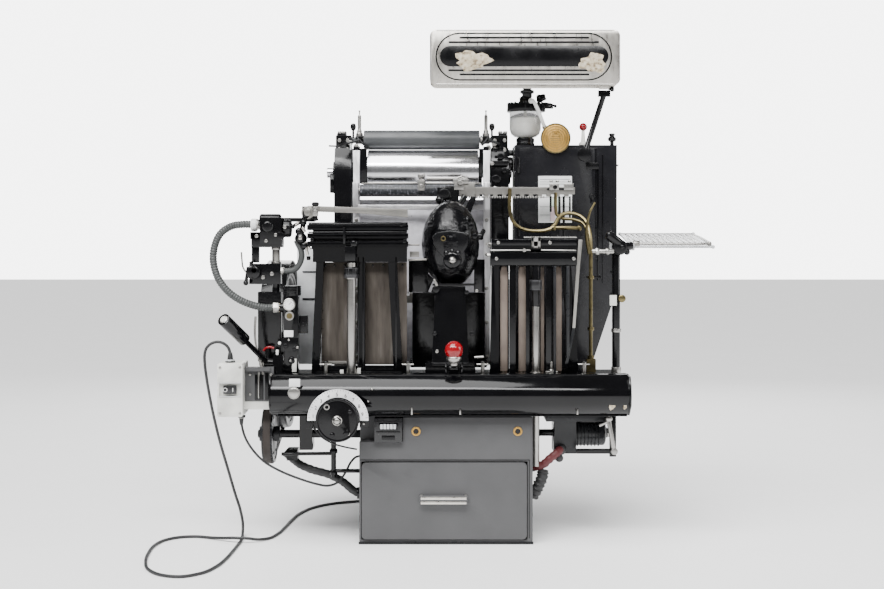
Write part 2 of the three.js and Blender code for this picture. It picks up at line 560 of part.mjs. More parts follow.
// The mains lead: up out of the gland, over, down to the floor, one loose loop, then behind the base.
const LEAD_ROUTE = [
  [-722, 20, 618], [-722, 20, 634], [-727.6, 19.5, 655], [-743, 18, 670.4], [-764, 16, 676],
  [-785, 14, 670.4], [-800.4, 12, 655], [-806, 11, 634], [-805, 10, 600], [-800, 10, 560],
  [-794, 12, 520], [-780, 20, 440], [-760, 40, 340], [-738, 75, 240], [-720, 115, 150],
  [-708, 141, 96], [-700, 149, 52], [-698, 146, 34], [-697, 136, 18], [-695.5, 121, 9],
  [-694, 104, 5.5], [-690, 50, 5.3], [-691, -20, 5.3], [-694, -110, 5.3], [-699, -210, 5.3],
  [-712, -310, 5.3], [-742, -395, 5.3], [-798, -440, 5.3], [-862, -420, 5.3], [-916, -350, 5.3],
  [-946, -250, 5.3], [-962, -140, 5.3], [-966, -30, 5.3], [-948, 52, 5.3], [-905, 98, 5.3],
  [-850, 108, 5.3], [-800, 88, 6], [-750, 58, 11], [-715, 40, 15.5], [-690, 33, 16.2],
  [-665, 34, 15], [-635, 46, 9], [-600, 82, 5.3], [-577, 160, 5.3], [-566, 260, 5.3],
  [-556, 380, 5.3], [-538, 500, 5.3], [-498, 610, 5.3], [-430, 686, 5.3], [-350, 728, 5.3],
  [-290, 739, 5.3], [-245, 740, 5.3],
];
const COIL = { x: -190, y: 800, turn: 58, half: 12, z: [0.3, 22] };

function leads() {
  piece("mains_lead", RUBBER, pipe(LEAD_ROUTE, CABLE_R, 78, 8));
  const { x, y, turn, half, z } = COIL;
  const ring = [[turn - half, z[0]], [turn + half, z[0]], [turn + half, z[1]], [turn - half, z[1]]];
  piece("mains_coil", RUBBER, turned([...ring, ring[0]], [x, y, 0], 24), [x, y, 0]);
  const plugAt = [740, 24.4];
  const body = rod("x", 24, [-126, -62], plugAt, 20);
  const nose = rod("x", 20, [-63, -30], plugAt, 20);
  piece("mains_plug", PALE, join(body, nose), [-80, ...plugAt]);

  const motorLead = [
    [-686, 30, 419], [-684, 31, 390], [-672, 34, 350], [-648, 38, 310], [-612, 42, 272],
    [-560, 48, 240], [-500, 54, 214], [-440, 60, 194], [-400, 68, 186], [-366, 78, 196],
    [-342, 90, 226], [-324, 98, 260], [-306, 100, 278], [-291.5, 100, 281],
  ];
  piece("motor_lead", RUBBER, pipe(motorLead, LEAD_R, 32, 8));
}

// ---------------------------------------------------------------- suction feeder on the left
function suction() {
  const plate = join(
    block([-557, -470], [118.5, 126.5], [1079, 1093]),
    block([-492, -448], [118.5, 126.5], [1079, 1132]),
  );
  const parts = [
    block([-590, -548], [98, 138], [TABLE_TOP + GAP, 606]), // foot
    block([-640, -562], [96, 138], [604, 840]), // column
    rod("z", 13, [839, 1000], [-580, 112], 16), // post
    block([-630, -556], [70, 140], [1003, 1093]), // vacuum chamber
    block([-660, -556], [78, 136], [992, 1044]),
    block([-668, -562], [84, 130], [867, 936]), // lower clamp
    rod("x", 16, [-660, -629], [105, 1070], 12), // hose union
  ];
  piece("suction_head", BLACK, join(plate, ...parts));

  const pivot = [-470, 105, 1110];
  const hold = rod("y", 22, [92, 118], [pivot[0], pivot[2]], 20);
  const knob = rod("y", 12, [80, 93], [pivot[0], pivot[2]], 12);
  const blade = prism("y", [[-470, 1134], [-130, 1122], [-130, 1094], [-300, 1108], [-470, 1114]], [100, 110]);
  piece("sucker_bar", STEEL, join(hold, knob, blade), pivot);

  const valve = join(
    block([-548, -500], [60, 110], [TABLE_TOP + GAP, 830]),
    rod("z", 30, [829, 862], [-522, 85], 20),
    rod("y", 20, [40, 61], [-528, 800], 20),
    rod("y", 12, [44, 61], [-526, 766], 16),
    rod("x", 16, [-580, -547], [74, 788], 12),
  );
  piece("valve_block", BLACK, valve);

  const hose = [
    [-661, 105, 1070], [-692, 105, 1070], [-730, 102, 1064], [-766, 98, 1040], [-785, 92, 1000], [-790, 86, 950],
    [-776, 80, 895], [-744, 76, 848], [-700, 74, 815], [-650, 74, 795], [-612, 74, 788], [-581, 74, 788],
  ];
  piece("suction_hose", HOSE_GREY, pipe(hose, HOSE_R, 26, 10));
}

base();
frame();
rearFrames();
inking();
impression();
grippers();
feed();
delivery();
cabinet();
sprayLever();
lamp();
tray();
blower();
drive();
controls();
clampScrews();
electrics();
leads();
suction();

export default press;
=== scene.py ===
"""An automatic platen press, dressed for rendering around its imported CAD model.

Pieces are written in millimetres in the drawing's own axes: X and Z as in the model, and Y counted from the
plane of the front beam. place() turns them into metres in the model's frame.
"""
import math

import bmesh
import bpy
from mathutils import Matrix, Vector


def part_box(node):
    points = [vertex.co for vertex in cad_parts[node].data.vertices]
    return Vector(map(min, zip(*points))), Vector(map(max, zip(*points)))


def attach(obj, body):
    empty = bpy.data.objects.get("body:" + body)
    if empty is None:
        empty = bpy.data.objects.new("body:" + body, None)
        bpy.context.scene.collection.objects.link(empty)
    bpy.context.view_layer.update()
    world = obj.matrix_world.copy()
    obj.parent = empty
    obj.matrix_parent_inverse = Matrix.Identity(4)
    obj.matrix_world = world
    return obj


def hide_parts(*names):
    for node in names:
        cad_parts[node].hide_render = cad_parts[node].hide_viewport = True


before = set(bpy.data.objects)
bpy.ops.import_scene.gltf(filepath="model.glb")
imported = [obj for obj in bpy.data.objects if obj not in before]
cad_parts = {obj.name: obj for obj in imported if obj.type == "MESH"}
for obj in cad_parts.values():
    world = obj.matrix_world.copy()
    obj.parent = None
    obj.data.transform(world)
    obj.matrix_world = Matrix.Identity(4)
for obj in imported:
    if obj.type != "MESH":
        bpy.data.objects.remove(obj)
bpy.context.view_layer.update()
BEAM_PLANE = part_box("base_casting")[0].y - 0.012  # where the drawing counts Y from
TABLE_TOP = 555.1  # where the pieces on the feed and delivery table stand, just clear of it


def place(x, y, z):
    """A point of the drawing in the model's frame, in metres."""
    return Vector((x / 1000, y / 1000 + BEAM_PLANE, z / 1000))


def add(name, data):
    """A new object in the scene."""
    obj = bpy.data.objects.new(name, data)
    bpy.context.scene.collection.objects.link(obj)
    return obj


# ---- centres: the two coordinates across an axis, in X, Y, Z order
HUB = (12, 999)
FLYWHEEL = (470, 620)
PULLEY = (150, 350)
MOTOR = (150, 354)
DRUM_AXIS = (520, 1266)
RIDER_AXIS = (520, 1388)
FORM_AXIS = (431, 1197)
LAMP_AXIS = (424, 1640)
HOOD_PIVOT = (428, 1568)
JAR = (296, 520)
DISC = (402, 1389)
BLOWER_TUBE = (508, 231)
FEED_COLUMN = (-319, 54)
DELIVERY_COLUMN = (304, 66)
TRAY_POST = (586, 150)
TRAY_KNUCKLE = (596, 992)
SUCTION_POST = (-580, 112)
GAUGE = (-528, 800)
SECOND_GAUGE = (-526, 762)
HOSE_TOP = (105, 1070)
HOSE_FOOT = (74, 788)
MAINS_GLAND = (-722, 20)
MOTOR_GLAND = (-686, 30)
PLUG = (740, 24.4)
DIAL = (-354, 429)


# ---- camera
CAMERA_SPOT = (-13.3, -4500, 1017)
LENS_MM = 55
HORIZON_ABOVE_MIDDLE = 0.0617  # the level camera's horizon, as a part of the picture's width


def make_camera():
    data = bpy.data.cameras.new("camera")
    data.lens = LENS_MM
    data.shift_y = -HORIZON_ABOVE_MIDDLE
    camera = add("camera", data)
    camera.location = place(*CAMERA_SPOT)
    camera.rotation_euler = (math.pi / 2, 0, 0)
    bpy.context.scene.camera = camera


# ---- shapes
AXES = {"x": (1, 2, 0), "y": (0, 2, 1), "z": (0, 1, 2)}


def along(axis, a, b, height):
    """A point given by its two coordinates across an axis, in X, Y, Z order, and its place along it."""
    point = [0.0, 0.0, 0.0]
    for index, value in zip(AXES[axis], (a, b, height)):
        point[index] = value
    return tuple(point)


def box(x, y, z):
    """A box from its span along each axis."""
    corners = [(a, b, c) for a in x for b in y for c in z]
    faces = [(0, 1, 3, 2), (4, 6, 7, 5), (0, 4, 5, 1), (2, 3, 7, 6), (0, 2, 6, 4), (1, 5, 7, 3)]
    return corners, faces


def rings_to_solid(rings):
    """Closed rings of points, joined in order and capped at both ends."""
    count = len(rings[0])
    verts = [p for ring in rings for p in ring]
    faces = [tuple(range(count)), tuple(reversed(range(len(verts) - count, len(verts))))]
    for r in range(len(rings) - 1):
        for i in range(count):
            j = (i + 1) % count
            faces.append((r * count + i, r * count + j, (r + 1) * count + j, (r + 1) * count + i))
    return verts, faces


def turns(count, start=0.0):
    """Angles spaced evenly round a full turn."""
    return [math.tau * i / count + start for i in range(count)]


def on_circle(centre, radius, angles):
    """The points of a circle at the given angles."""
    return [(centre[0] + radius * math.cos(a), centre[1] + radius * math.sin(a)) for a in angles]


def lathe(axis, profile, centre, sides=28):
    """Profile is (radius, place along the axis) pairs; centre is the two coordinates across the axis."""
    return rings_to_solid([[along(axis, a, b, height) for a, b in on_circle(centre, max(radius, 0.01),
        turns(sides))] for radius, height in profile])


def rod(axis, radius, span, centre, sides=20):
    return lathe(axis, [(radius, span[0]), (radius, span[1])], centre, sides)


def washer(axis, outer, inner, span, centre, sides=32):
    """A flat ring with a round hole."""
    rings = [(outer, span[0]), (outer, span[1]), (inner, span[1]), (inner, span[0])]
    verts, faces = lathe(axis, rings, centre, sides)
    faces = faces[2:]
    last = 3 * sides
    faces += [(last + i, last + (i + 1) % sides, (i + 1) % sides, i) for i in range(sides)]
    return verts, faces


def ball(radius, centre, sides=20):
    steps = 12
    profile = [(radius * math.sin(math.pi * i / steps), centre[2] - radius * math.cos(math.pi * i / steps))
               for i in range(steps + 1)]
    return lathe("z", profile, centre[:2], sides)


def outline(axis, points, span):
    """An outline drawn across an axis and extruded along it."""
    return rings_to_solid([[along(axis, a, b, height) for a, b in points] for height in span])


def stadium(x, z, steps=14):
    """The outline of a bar with half-round ends, in X and Z."""
    radius = (z[1] - z[0]) / 2
    middle = (z[0] + z[1]) / 2
    right, left = [[math.pi * (i / steps + start) for i in range(steps + 1)] for start in (-0.5, 0.5)]
    return on_circle((x[1] - radius, middle), radius, right) + on_circle((x[0] + radius, middle), radius,
        left)


def smooth_path(points, gap):
    """A centripetal spline through the points, sampled about every gap."""
    p = [Vector(q) for q in points]
    p = [p[0] * 2 - p[1], *p, p[-1] * 2 - p[-2]]
    path = [p[1]]
    for a, b, c, d in zip(p, p[1:], p[2:], p[3:]):
        t0, t1 = 0.0, (b - a).length ** 0.5
        t2 = t1 + (c - b).length ** 0.5
        t3 = t2 + (d - c).length ** 0.5
        steps = max(2, round((c - b).length / gap))
        for i in range(1, steps + 1):
            t = t1 + (t2 - t1) * i / steps
            ab = a * ((t1 - t) / (t1 - t0)) + b * ((t - t0) / (t1 - t0))
            bc = b * ((t2 - t) / (t2 - t1)) + c * ((t - t1) / (t2 - t1))
            cd = c * ((t3 - t) / (t3 - t2)) + d * ((t - t2) / (t3 - t2))
            abc = ab * ((t2 - t) / (t2 - t0)) + bc * ((t - t0) / (t2 - t0))
            bcd = bc * ((t3 - t) / (t3 - t1)) + cd * ((t - t1) / (t3 - t1))
            path.append(abc * ((t2 - t) / (t2 - t1)) + bcd * ((t - t1) / (t2 - t1)))
    return path


def sweep(path, radius, sides=12):
    """A round tube along a path; radius is a number or a function of the distance along it."""
    path = [Vector(q) for q in path]
    side = Vector((0, 0, 1))
    if abs((path[1] - path[0]).normalized().z) > 0.9:
        side = Vector((1, 0, 0))
    rings, distance = [], 0.0
    for i, here in enumerate(path):
        before, after = path[max(i - 1, 0)], path[min(i + 1, len(path) - 1)]
        ahead = (after - before).normalized()
        side = (side - ahead * side.dot(ahead)).normalized()
        up = ahead.cross(side)
        if i:
            distance += (here - path[i - 1]).length
        r = radius(distance) if callable(radius) else radius
        rings.append([tuple(here + (side * math.cos(a) + up * math.sin(a)) * r)
                      for a in turns(sides)])
    return rings_to_solid(rings)


def bar(a, b, radius, sides=14):
    """A straight round bar between two points."""
    return sweep([a, b], radius, sides)


def bolt(axis, radius, start, height, centre, sides=6):
    """A hexagon or round head with a chamfered face; height may be negative."""
    end = start + height
    return lathe(axis, [(radius, start), (radius, end - height * 0.3), (radius * 0.82, end)], centre, sides)


def bolts(axis, radius, start, height, spots, sides=6):
    """The same bolt head at several spots."""
    return [bolt(axis, radius, start, height, spot, sides) for spot in spots]


def pipe(points, gap, radius, sides=12):
    """A round tube along a smooth path through the points."""
    return sweep(smooth_path(points, gap), radius, sides)


def turned_about(shape, pivot, angle, axis="Y"):
    """The same shape, turned about an axis through a pivot."""
    matrix = Matrix.Translation(pivot) @ Matrix.Rotation(angle, 4,
        axis) @ Matrix.Translation(-Vector(pivot))
    return [tuple(matrix @ Vector(v)) for v in shape[0]], shape[1]


# ---- pieces
SHARP_ANGLE = math.radians(34)  # edges sharper than this are bevelled, and not shaded smooth


def smooth_group():
    """Geometry nodes that shade everything smooth but the edges sharper than an angle."""
    group = bpy.data.node_groups.new("smooth_by_angle", "GeometryNodeTree")
    group.interface.new_socket("Geometry", in_out="INPUT", socket_type="NodeSocketGeometry")
    group.interface.new_socket("Geometry", in_out="OUTPUT", socket_type="NodeSocketGeometry")
    nodes, links = group.nodes, group.links
    start, end = nodes.new("NodeGroupInput"), nodes.new("NodeGroupOutput")
    angle = nodes.new("GeometryNodeInputMeshEdgeAngle")
    sharp = nodes.new("FunctionNodeCompare")
    sharp.operation = "LESS_THAN"
    sharp.inputs[1].default_value = SHARP_ANGLE
    faces, edges = nodes.new("GeometryNodeSetShadeSmooth"), nodes.new("GeometryNodeSetShadeSmooth")
    edges.domain = "EDGE"
    links.new(start.outputs[0], faces.inputs[0])
    links.new(faces.outputs[0], edges.inputs[0])
    links.new(angle.outputs["Unsigned Angle"], sharp.inputs[0])
    links.new(sharp.outputs[0], edges.inputs["Shade Smooth"])
    links.new(edges.outputs[0], end.inputs[0])
    return group


def finish_edges(obj, bevel, faceted=False):
    """Rounds the sharp edges by bevel millimetres and shades the rest smooth."""
    weld = obj.modifiers.new("weld", "WELD")
    weld.merge_threshold = 1e-5
    if faceted:
        flat = obj.modifiers.new("flat", "DECIMATE")
        flat.decimate_type = "DISSOLVE"
        flat.angle_limit = math.radians(0.6)
    if bevel:
        edge = obj.modifiers.new("edge", "BEVEL")
        edge.width = bevel / 1000
        edge.segments = 2
        edge.limit_method = "ANGLE"
        edge.angle_limit = SHARP_ANGLE
        edge.use_clamp_overlap = True
    smooth = obj.modifiers.new("smooth", "NODES")
    smooth.node_group = SMOOTH


def piece(name, body, material, *shapes, bevel=0.6):
    """One object made of closed shapes, riding on a body."""
    mesh = bpy.data.meshes.new(name)
    verts, faces = [], []
    for shape_verts, shape_faces in shapes:
        faces += [tuple(i + len(verts) for i in face) for face in shape_faces]
        verts += [place(*v) for v in shape_verts]
    mesh.from_pydata(verts, [], faces)
    work = bmesh.new()
    work.from_mesh(mesh)
    bmesh.ops.recalc_face_normals(work, faces=work.faces)
    work.to_mesh(mesh)
    work.free()
    obj = add(name, mesh)
    mesh.materials.append(material)
    finish_edges(obj, bevel)
    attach(obj, body)
    return obj


def fixed(name, material, *shapes, **finish):
    """A piece that stays with the frame."""
    return piece(name, "frame", material, *shapes, **finish)


def dress(node, material, bevel):
    """Gives a CAD node its material and rounded edges."""
    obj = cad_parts[node]
    obj.data.materials.clear()
    obj.data.materials.append(material)
    finish_edges(obj, bevel, faceted=True)


# ---- materials
class Paint:
    """A principled material whose colour, roughness and bump vary over the surface."""

    def __init__(self, name, metallic=0.0, **sockets):
        self.material = bpy.data.materials.new(name)
        self.material.use_nodes = True
        self.tree = self.material.node_tree
        self.shader = self.tree.nodes["Principled BSDF"]
        self.shader.inputs["Metallic"].default_value = metallic
        for socket, value in sockets.items():
            self.shader.inputs[socket.replace("_", " ")].default_value = value
        self.place = self.tree.nodes.new("ShaderNodeTexCoord").outputs["Object"]

    def link(self, a, b):
        self.tree.links.new(a, b)

    def noise(self, scale, detail=4.0, stretch=(1, 1, 1), roughness=0.55):
        mapping = self.tree.nodes.new("ShaderNodeMapping")
        mapping.inputs["Scale"].default_value = stretch
        texture = self.tree.nodes.new("ShaderNodeTexNoise")
        texture.inputs["Scale"].default_value = scale
        texture.inputs["Detail"].default_value = detail
        texture.inputs["Roughness"].default_value = roughness
        self.link(self.place, mapping.inputs["Vector"])
        self.link(mapping.outputs[0], texture.inputs["Vector"])
        return texture.outputs[0]

    def ramp(self, value, *stops):
        """Stops are (place, colour or grey)."""
        node = self.tree.nodes.new("ShaderNodeValToRGB")
        elements = node.color_ramp.elements
        while len(elements) < len(stops):
            elements.new(0.5)
        for element, (position, colour) in zip(elements, stops):
            element.position = position
            element.color = (*colour, 1) if isinstance(colour, tuple) else (colour, colour, colour, 1)
        self.link(value, node.inputs[0])
        return node.outputs[0]

    def mix(self, factor, a, b):
        node = self.tree.nodes.new("ShaderNodeMix")
        node.data_type = "RGBA"
        self.link(factor, node.inputs[0])
        for socket, value in ((node.inputs[6], a), (node.inputs[7], b)):
            if isinstance(value, tuple):
                socket.default_value = (*value, 1)
            else:
                self.link(value, socket)
        return node.outputs[2]

    def bump(self, height, distance):
        """Raises the surface by up to distance millimetres, over any bump already there."""
        node = self.tree.nodes.new("ShaderNodeBump")
        node.inputs["Distance"].default_value = distance / 1000
        self.link(height, node.inputs["Height"])
        if self.shader.inputs["Normal"].is_linked:
            self.link(self.shader.inputs["Normal"].links[0].from_socket, node.inputs["Normal"])
        self.link(node.outputs[0], self.shader.inputs["Normal"])

    def set(self, socket, value):
        self.link(value, self.shader.inputs[socket])


def shade(colour, factor):
    return tuple(min(1.0, c * factor) for c in colour)


def enamel(name, colour, gloss=0.22, lumps=0.25, lump_scale=55, wear=0.30, wear_colour=(0.10, 0.095, 0.09),
           patch=0.25, shine=0.28):
    """Brushed-on machine enamel: uneven gloss, shallow lumps and small worn spots."""
    paint = Paint(name, Specular_IOR_Level=shine, Coat_Weight=shine / 5, Coat_Roughness=0.1)
    blotch = paint.ramp(paint.noise(7, 5), (0.35, shade(colour, 1 - patch)),
                        (0.7, shade(colour, 1 + 1.6 * patch)))
    chips = paint.ramp(paint.noise(38, 6, roughness=0.7), (0.66 + 0.1 * (1 - wear), 0.0),
                       (0.72 + 0.1 * (1 - wear), 1.0))
    paint.set("Base Color", paint.mix(chips, blotch, wear_colour))
    paint.set("Roughness", paint.ramp(paint.noise(16, 4), (0.35, gloss * 0.75), (0.75, gloss * 1.7)))
    paint.bump(paint.noise(lump_scale, 3), lumps * 2)
    paint.bump(paint.noise(420, 2), lumps * 0.15)
    return paint.material


def bright_metal(name, colour, roughness=0.3, grain=(1, 1, 24), scale=60, stain=0.35, bump=0.04):
    """Machined or plated metal with grain along one direction and darker stains."""
    paint = Paint(name, metallic=1.0)
    lines = paint.noise(scale, 5, grain)
    stains = paint.noise(9, 5)
    clean = paint.ramp(lines, (0.3, shade(colour, 0.86)), (0.7, shade(colour, 1.1)))
    dirty = paint.ramp(stains, (0.46, 0.0), (0.8, stain))
    paint.set("Base Color", paint.mix(dirty, clean, shade(colour, 0.4)))
    paint.set("Roughness", paint.ramp(lines, (0.3, roughness * 0.8), (0.75, roughness * 1.35)))
    paint.bump(lines, bump)
    return paint.material


def moulded(name, colour, roughness=0.4, bump=0.03, **sockets):
    """Moulded plastic or rubber with a fine grain."""
    paint = Paint(name, **sockets)
    tone = paint.ramp(paint.noise(14, 4), (0.35, shade(colour, 0.85)), (0.7, shade(colour, 1.15)))
    paint.set("Base Color", tone)
    paint.set("Roughness", paint.ramp(paint.noise(35, 3), (0.3, roughness * 0.85), (0.7, roughness * 1.2)))
    paint.bump(paint.noise(300, 2), bump)
    return paint.material


def guide_plate_metal():
    """Oily unpainted sheet, smeared up and down."""
    paint = Paint("guide_plate_metal", metallic=0.55)
    smears = paint.noise(5, 6, (5, 1, 0.6))
    tone = paint.ramp(smears, (0.3, (0.028, 0.022, 0.018)), (0.52, (0.078, 0.066, 0.055)),
                      (0.75, (0.17, 0.155, 0.14)))
    paint.set("Base Color", tone)
    paint.set("Roughness", paint.ramp(paint.noise(22, 4, (4, 1, 1)), (0.3, 0.3), (0.7, 0.5)))
    paint.bump(paint.noise(60, 3, (6, 1, 1)), 0.05)
    return paint.material


def bed_metal():
    """Planed bed: pale, slightly lilac, with thin scratches and darker specks."""
    paint = Paint("bed_metal", metallic=0.45)
    fine = paint.noise(30, 6, (1, 1, 1.5))
    specks = paint.ramp(paint.noise(130, 3), (0.66, 0.0), (0.76, 0.6))
    tone = paint.ramp(fine, (0.3, (0.55, 0.54, 0.57)), (0.7, (0.80, 0.79, 0.84)))
    paint.set("Base Color", paint.mix(specks, tone, (0.18, 0.17, 0.17)))
    paint.set("Roughness", paint.ramp(paint.noise(18, 4), (0.3, 0.38), (0.7, 0.55)))
    paint.bump(fine, 0.05)
    return paint.material


def worn_board():
    """Lumpy, hand-painted black with streaks along the slats."""
    paint = Paint("worn_board", Coat_Weight=0.2, Coat_Roughness=0.2)
    streaks = paint.noise(26, 6, (0.25, 1, 3))
    tone = paint.ramp(streaks, (0.4, (0.006, 0.006, 0.007)), (0.66, (0.03, 0.03, 0.033)),
                      (0.8, (0.12, 0.12, 0.13)))
    paint.set("Base Color", tone)
    paint.set("Roughness", paint.ramp(streaks, (0.3, 0.25), (0.75, 0.55)))
    paint.bump(streaks, 1.6)
    paint.bump(paint.noise(110, 4), 0.5)
    return paint.material


def worn_cream():
    """Cracked filler where the printing on the hood has gone."""
    paint = Paint("worn_cream")
    cells = paint.noise(70, 6, roughness=0.7)
    tone = paint.ramp(cells, (0.36, (0.12, 0.08, 0.04)), (0.48, (0.42, 0.35, 0.24)),
                      (0.7, (0.62, 0.57, 0.46)))
    paint.set("Base Color", tone)
    paint.set("Roughness", paint.ramp(cells, (0.3, 0.5), (0.7, 0.7)))
    paint.bump(cells, 0.4)
    return paint.material


def inked_rubber():
    """A form roller with dried ink on it."""
    paint = Paint("inked_rubber")
    spots = paint.noise(85, 5, (1.6, 1, 1), 0.7)
    paint.set("Base Color", paint.ramp(spots, (0.4, (0.006, 0.007, 0.009)), (0.56, (0.04, 0.042, 0.05)),
                                       (0.66, (0.22, 0.22, 0.25))))
    paint.set("Roughness", paint.ramp(spots, (0.3, 0.3), (0.7, 0.6)))
    paint.bump(spots, 0.4)
    return paint.material


def clear_glass():
    paint = Paint("clear_glass", Transmission_Weight=0.92, IOR=1.45)
    paint.set("Base Color", paint.ramp(paint.noise(12, 3), (0.3, 0.9), (0.7, 1.0)))
    paint.set("Roughness", paint.ramp(paint.noise(30, 4), (0.3, 0.02), (0.75, 0.12)))
    return paint.material


SMOOTH = smooth_group()
BLACK = enamel("black_enamel", (0.0025, 0.0025, 0.003), gloss=0.13)
BLACK_GLOSS = enamel("black_gloss", (0.002, 0.002, 0.0025), gloss=0.09, lumps=0.10, lump_scale=28,
                     wear=0.15)
BLACK_LUMPY = enamel("black_lumpy", (0.002, 0.002, 0.0025), gloss=0.12, lumps=0.5, lump_scale=42,
                     wear=0.35, shine=0.1, wear_colour=(0.035, 0.033, 0.032))
HUB_BLACK = enamel("hub_black", (0.002, 0.002, 0.0025), gloss=0.08, lumps=3.2, lump_scale=24, wear=0.1)
BLACK_SATIN = enamel("black_satin", (0.003, 0.003, 0.0035), gloss=0.2, lumps=0.12, wear=0.35)
CABINET_BLACK = enamel("cabinet_black", (0.008, 0.008, 0.0095), gloss=0.2, wear=0.35)
SLAT = enamel("worn_slat", (0.15, 0.12, 0.10), gloss=0.45, lumps=0.1, wear=0.25,
              wear_colour=(0.1, 0.09, 0.08))
GREY = enamel("grey_enamel", (0.076, 0.076, 0.078), gloss=0.42, lumps=0.06, wear=0.12,
              wear_colour=(0.3, 0.3, 0.3), patch=0.05)
DARK_GREY = enamel("dark_grey_enamel", (0.010, 0.0105, 0.012), gloss=0.3, lumps=0.1, wear=0.2)
PALE_GREY = enamel("pale_grey_enamel", (0.55, 0.56, 0.57), gloss=0.4, lumps=0.08, wear=0.25)
PALE = enamel("pale_enamel", (0.66, 0.66, 0.62), gloss=0.45, lumps=0.05, wear=0.25)
WHITE_FACE = enamel("white_face", (0.78, 0.78, 0.79), gloss=0.3, lumps=0.04, wear=0.25)
STEEL = bright_metal("bright_steel", (0.40, 0.39, 0.37), 0.32)
STEEL_BAR = bright_metal("steel_bar", (0.30, 0.29, 0.27), 0.4, grain=(18, 1, 1), stain=0.5)
DRUM = bright_metal("drum_steel", (0.82, 0.82, 0.84), 0.16, grain=(14, 1, 1), scale=30, stain=0.12,
                    bump=0.01)
RAIL = bright_metal("rail_steel", (0.86, 0.85, 0.86), 0.38, grain=(1, 1, 0.3), stain=0.25)
BRONZE_ROD = bright_metal("bronze_rod", (0.42, 0.35, 0.29), 0.36, grain=(1, 1, 0.2), stain=0.5)
NICKEL = bright_metal("nickel_plate", (0.66, 0.63, 0.58), 0.3, grain=(3, 1, 1), scale=20, stain=0.25,
                      bump=0.02)
BRASS = bright_metal("aged_brass", (0.17, 0.14, 0.07), 0.34, grain=(1, 1, 1), stain=0.7)
BRASS_DISC = bright_metal("brass_disc", (0.52, 0.31, 0.085), 0.42, grain=(5, 1, 1), scale=26, stain=0.25)
BED = bed_metal()
GUIDE = guide_plate_metal()
BOARD = worn_board()
CREAM = worn_cream()
GLASS = clear_glass()
ROLLER = moulded("roller_rubber", (0.05, 0.053, 0.056), 0.42, bump=0.02)
ROLLER_DARK = inked_rubber()
RUBBER = moulded("black_rubber", (0.018, 0.018, 0.019), 0.55)
HOSE = moulded("ribbed_hose", (0.045, 0.048, 0.047), 0.5)
PLASTIC = moulded("black_plastic", (0.014, 0.014, 0.015), 0.28)
RED = moulded("red_ball", (0.22, 0.002, 0.006), 0.16, Coat_Weight=0.2)
MAROON = moulded("maroon_hose", (0.09, 0.012, 0.014), 0.5)
WHITE = moulded("white_plastic", (0.78, 0.78, 0.76), 0.4)
BEIGE = moulded("beige_plastic", (0.5, 0.38, 0.22), 0.5)
PAPER = moulded("paper", (0.84, 0.85, 0.84), 0.75)
GREEN_PAPER = moulded("green_paper", (0.66, 0.78, 0.66), 0.75)
PINK_PAPER = moulded("pink_paper", (0.80, 0.62, 0.66), 0.75)
POWDER = moulded("powder", (0.93, 0.91, 0.84), 0.8)
LEATHER = moulded("belt_leather", (0.018, 0.012, 0.009), 0.6, bump=0.1)
CLEAR_SHEET = moulded("clear_sheet", (0.80, 0.81, 0.82), 0.25, Transmission_Weight=0.5)
LIGHT = moulded("lamp_tube", (0.85, 0.85, 0.83), 0.2)


# ---- cords
MAINS_RADIUS, MOTOR_RADIUS, HOSE_RADIUS = 5, 4, 13
def on_floor(*spots):
    """The mains cord lying on the floor, its underside just clear of it."""
    return [(x, y, MAINS_RADIUS + 0.3) for x, y in spots]


MAINS_ROUTE = [(-722, 20, 618), (-722, 20, 634), (-727.6, 19.5, 655), (-743, 18, 670.4), (-764, 16, 676),
               (-785, 14, 670.4), (-800.4, 12, 655), (-806, 11, 634), (-805, 10, 600), (-800, 10, 560),
               (-794, 12, 520), (-780, 20, 440), (-760, 40, 340), (-738, 75, 240), (-720, 115, 150),
               (-708, 141, 96), (-700, 149, 52), (-698, 146, 34), (-697, 136, 18), (-695.5, 121, 9),
               (-694, 104, 5.5), *on_floor((-690, 50), (-691, -20), (-694, -110), (-699, -210),
                                           (-712, -310), (-742, -395), (-798, -440), (-862, -420),
                                           (-916, -350), (-946, -250), (-962, -140), (-966, -30),
                                           (-948, 52), (-905, 98), (-850, 108)), (-800, 88, 6),
               (-750, 58, 11), (-715, 40, 15.5), (-690, 33, 16.2), (-665, 34, 15), (-635, 46, 9),
               *on_floor((-600, 82), (-577, 160), (-566, 260), (-556, 380), (-538, 500), (-498, 610),
                         (-430, 686), (-350, 728), (-290, 739), (-226, 740))]
COIL_CENTRE, COIL_RADII = (-190, 800), (60, 50)
MOTOR_ROUTE = [
    (-686, 30, 419), (-684, 31, 390), (-672, 34, 350), (-648, 38, 310), (-612, 42, 272), (-560, 48, 240),
    (-500, 54, 214), (-440, 60, 194), (-400, 68, 186), (-366, 78, 196), (-342, 90, 226), (-324, 98, 260),
    (-306, 100, 278), (-291.5, 100, 281),
]
HOSE_ROUTE = [(-661, 105, 1070), (-692, 105, 1070), (-730, 102, 1064), (-766, 98, 1040), (-785, 92, 1000),
              (-790, 86, 950), (-776, 80, 895), (-744, 76, 848), (-700, 74, 815), (-650, 74, 795),
              (-612, 74, 788), (-581, 74, 788)]


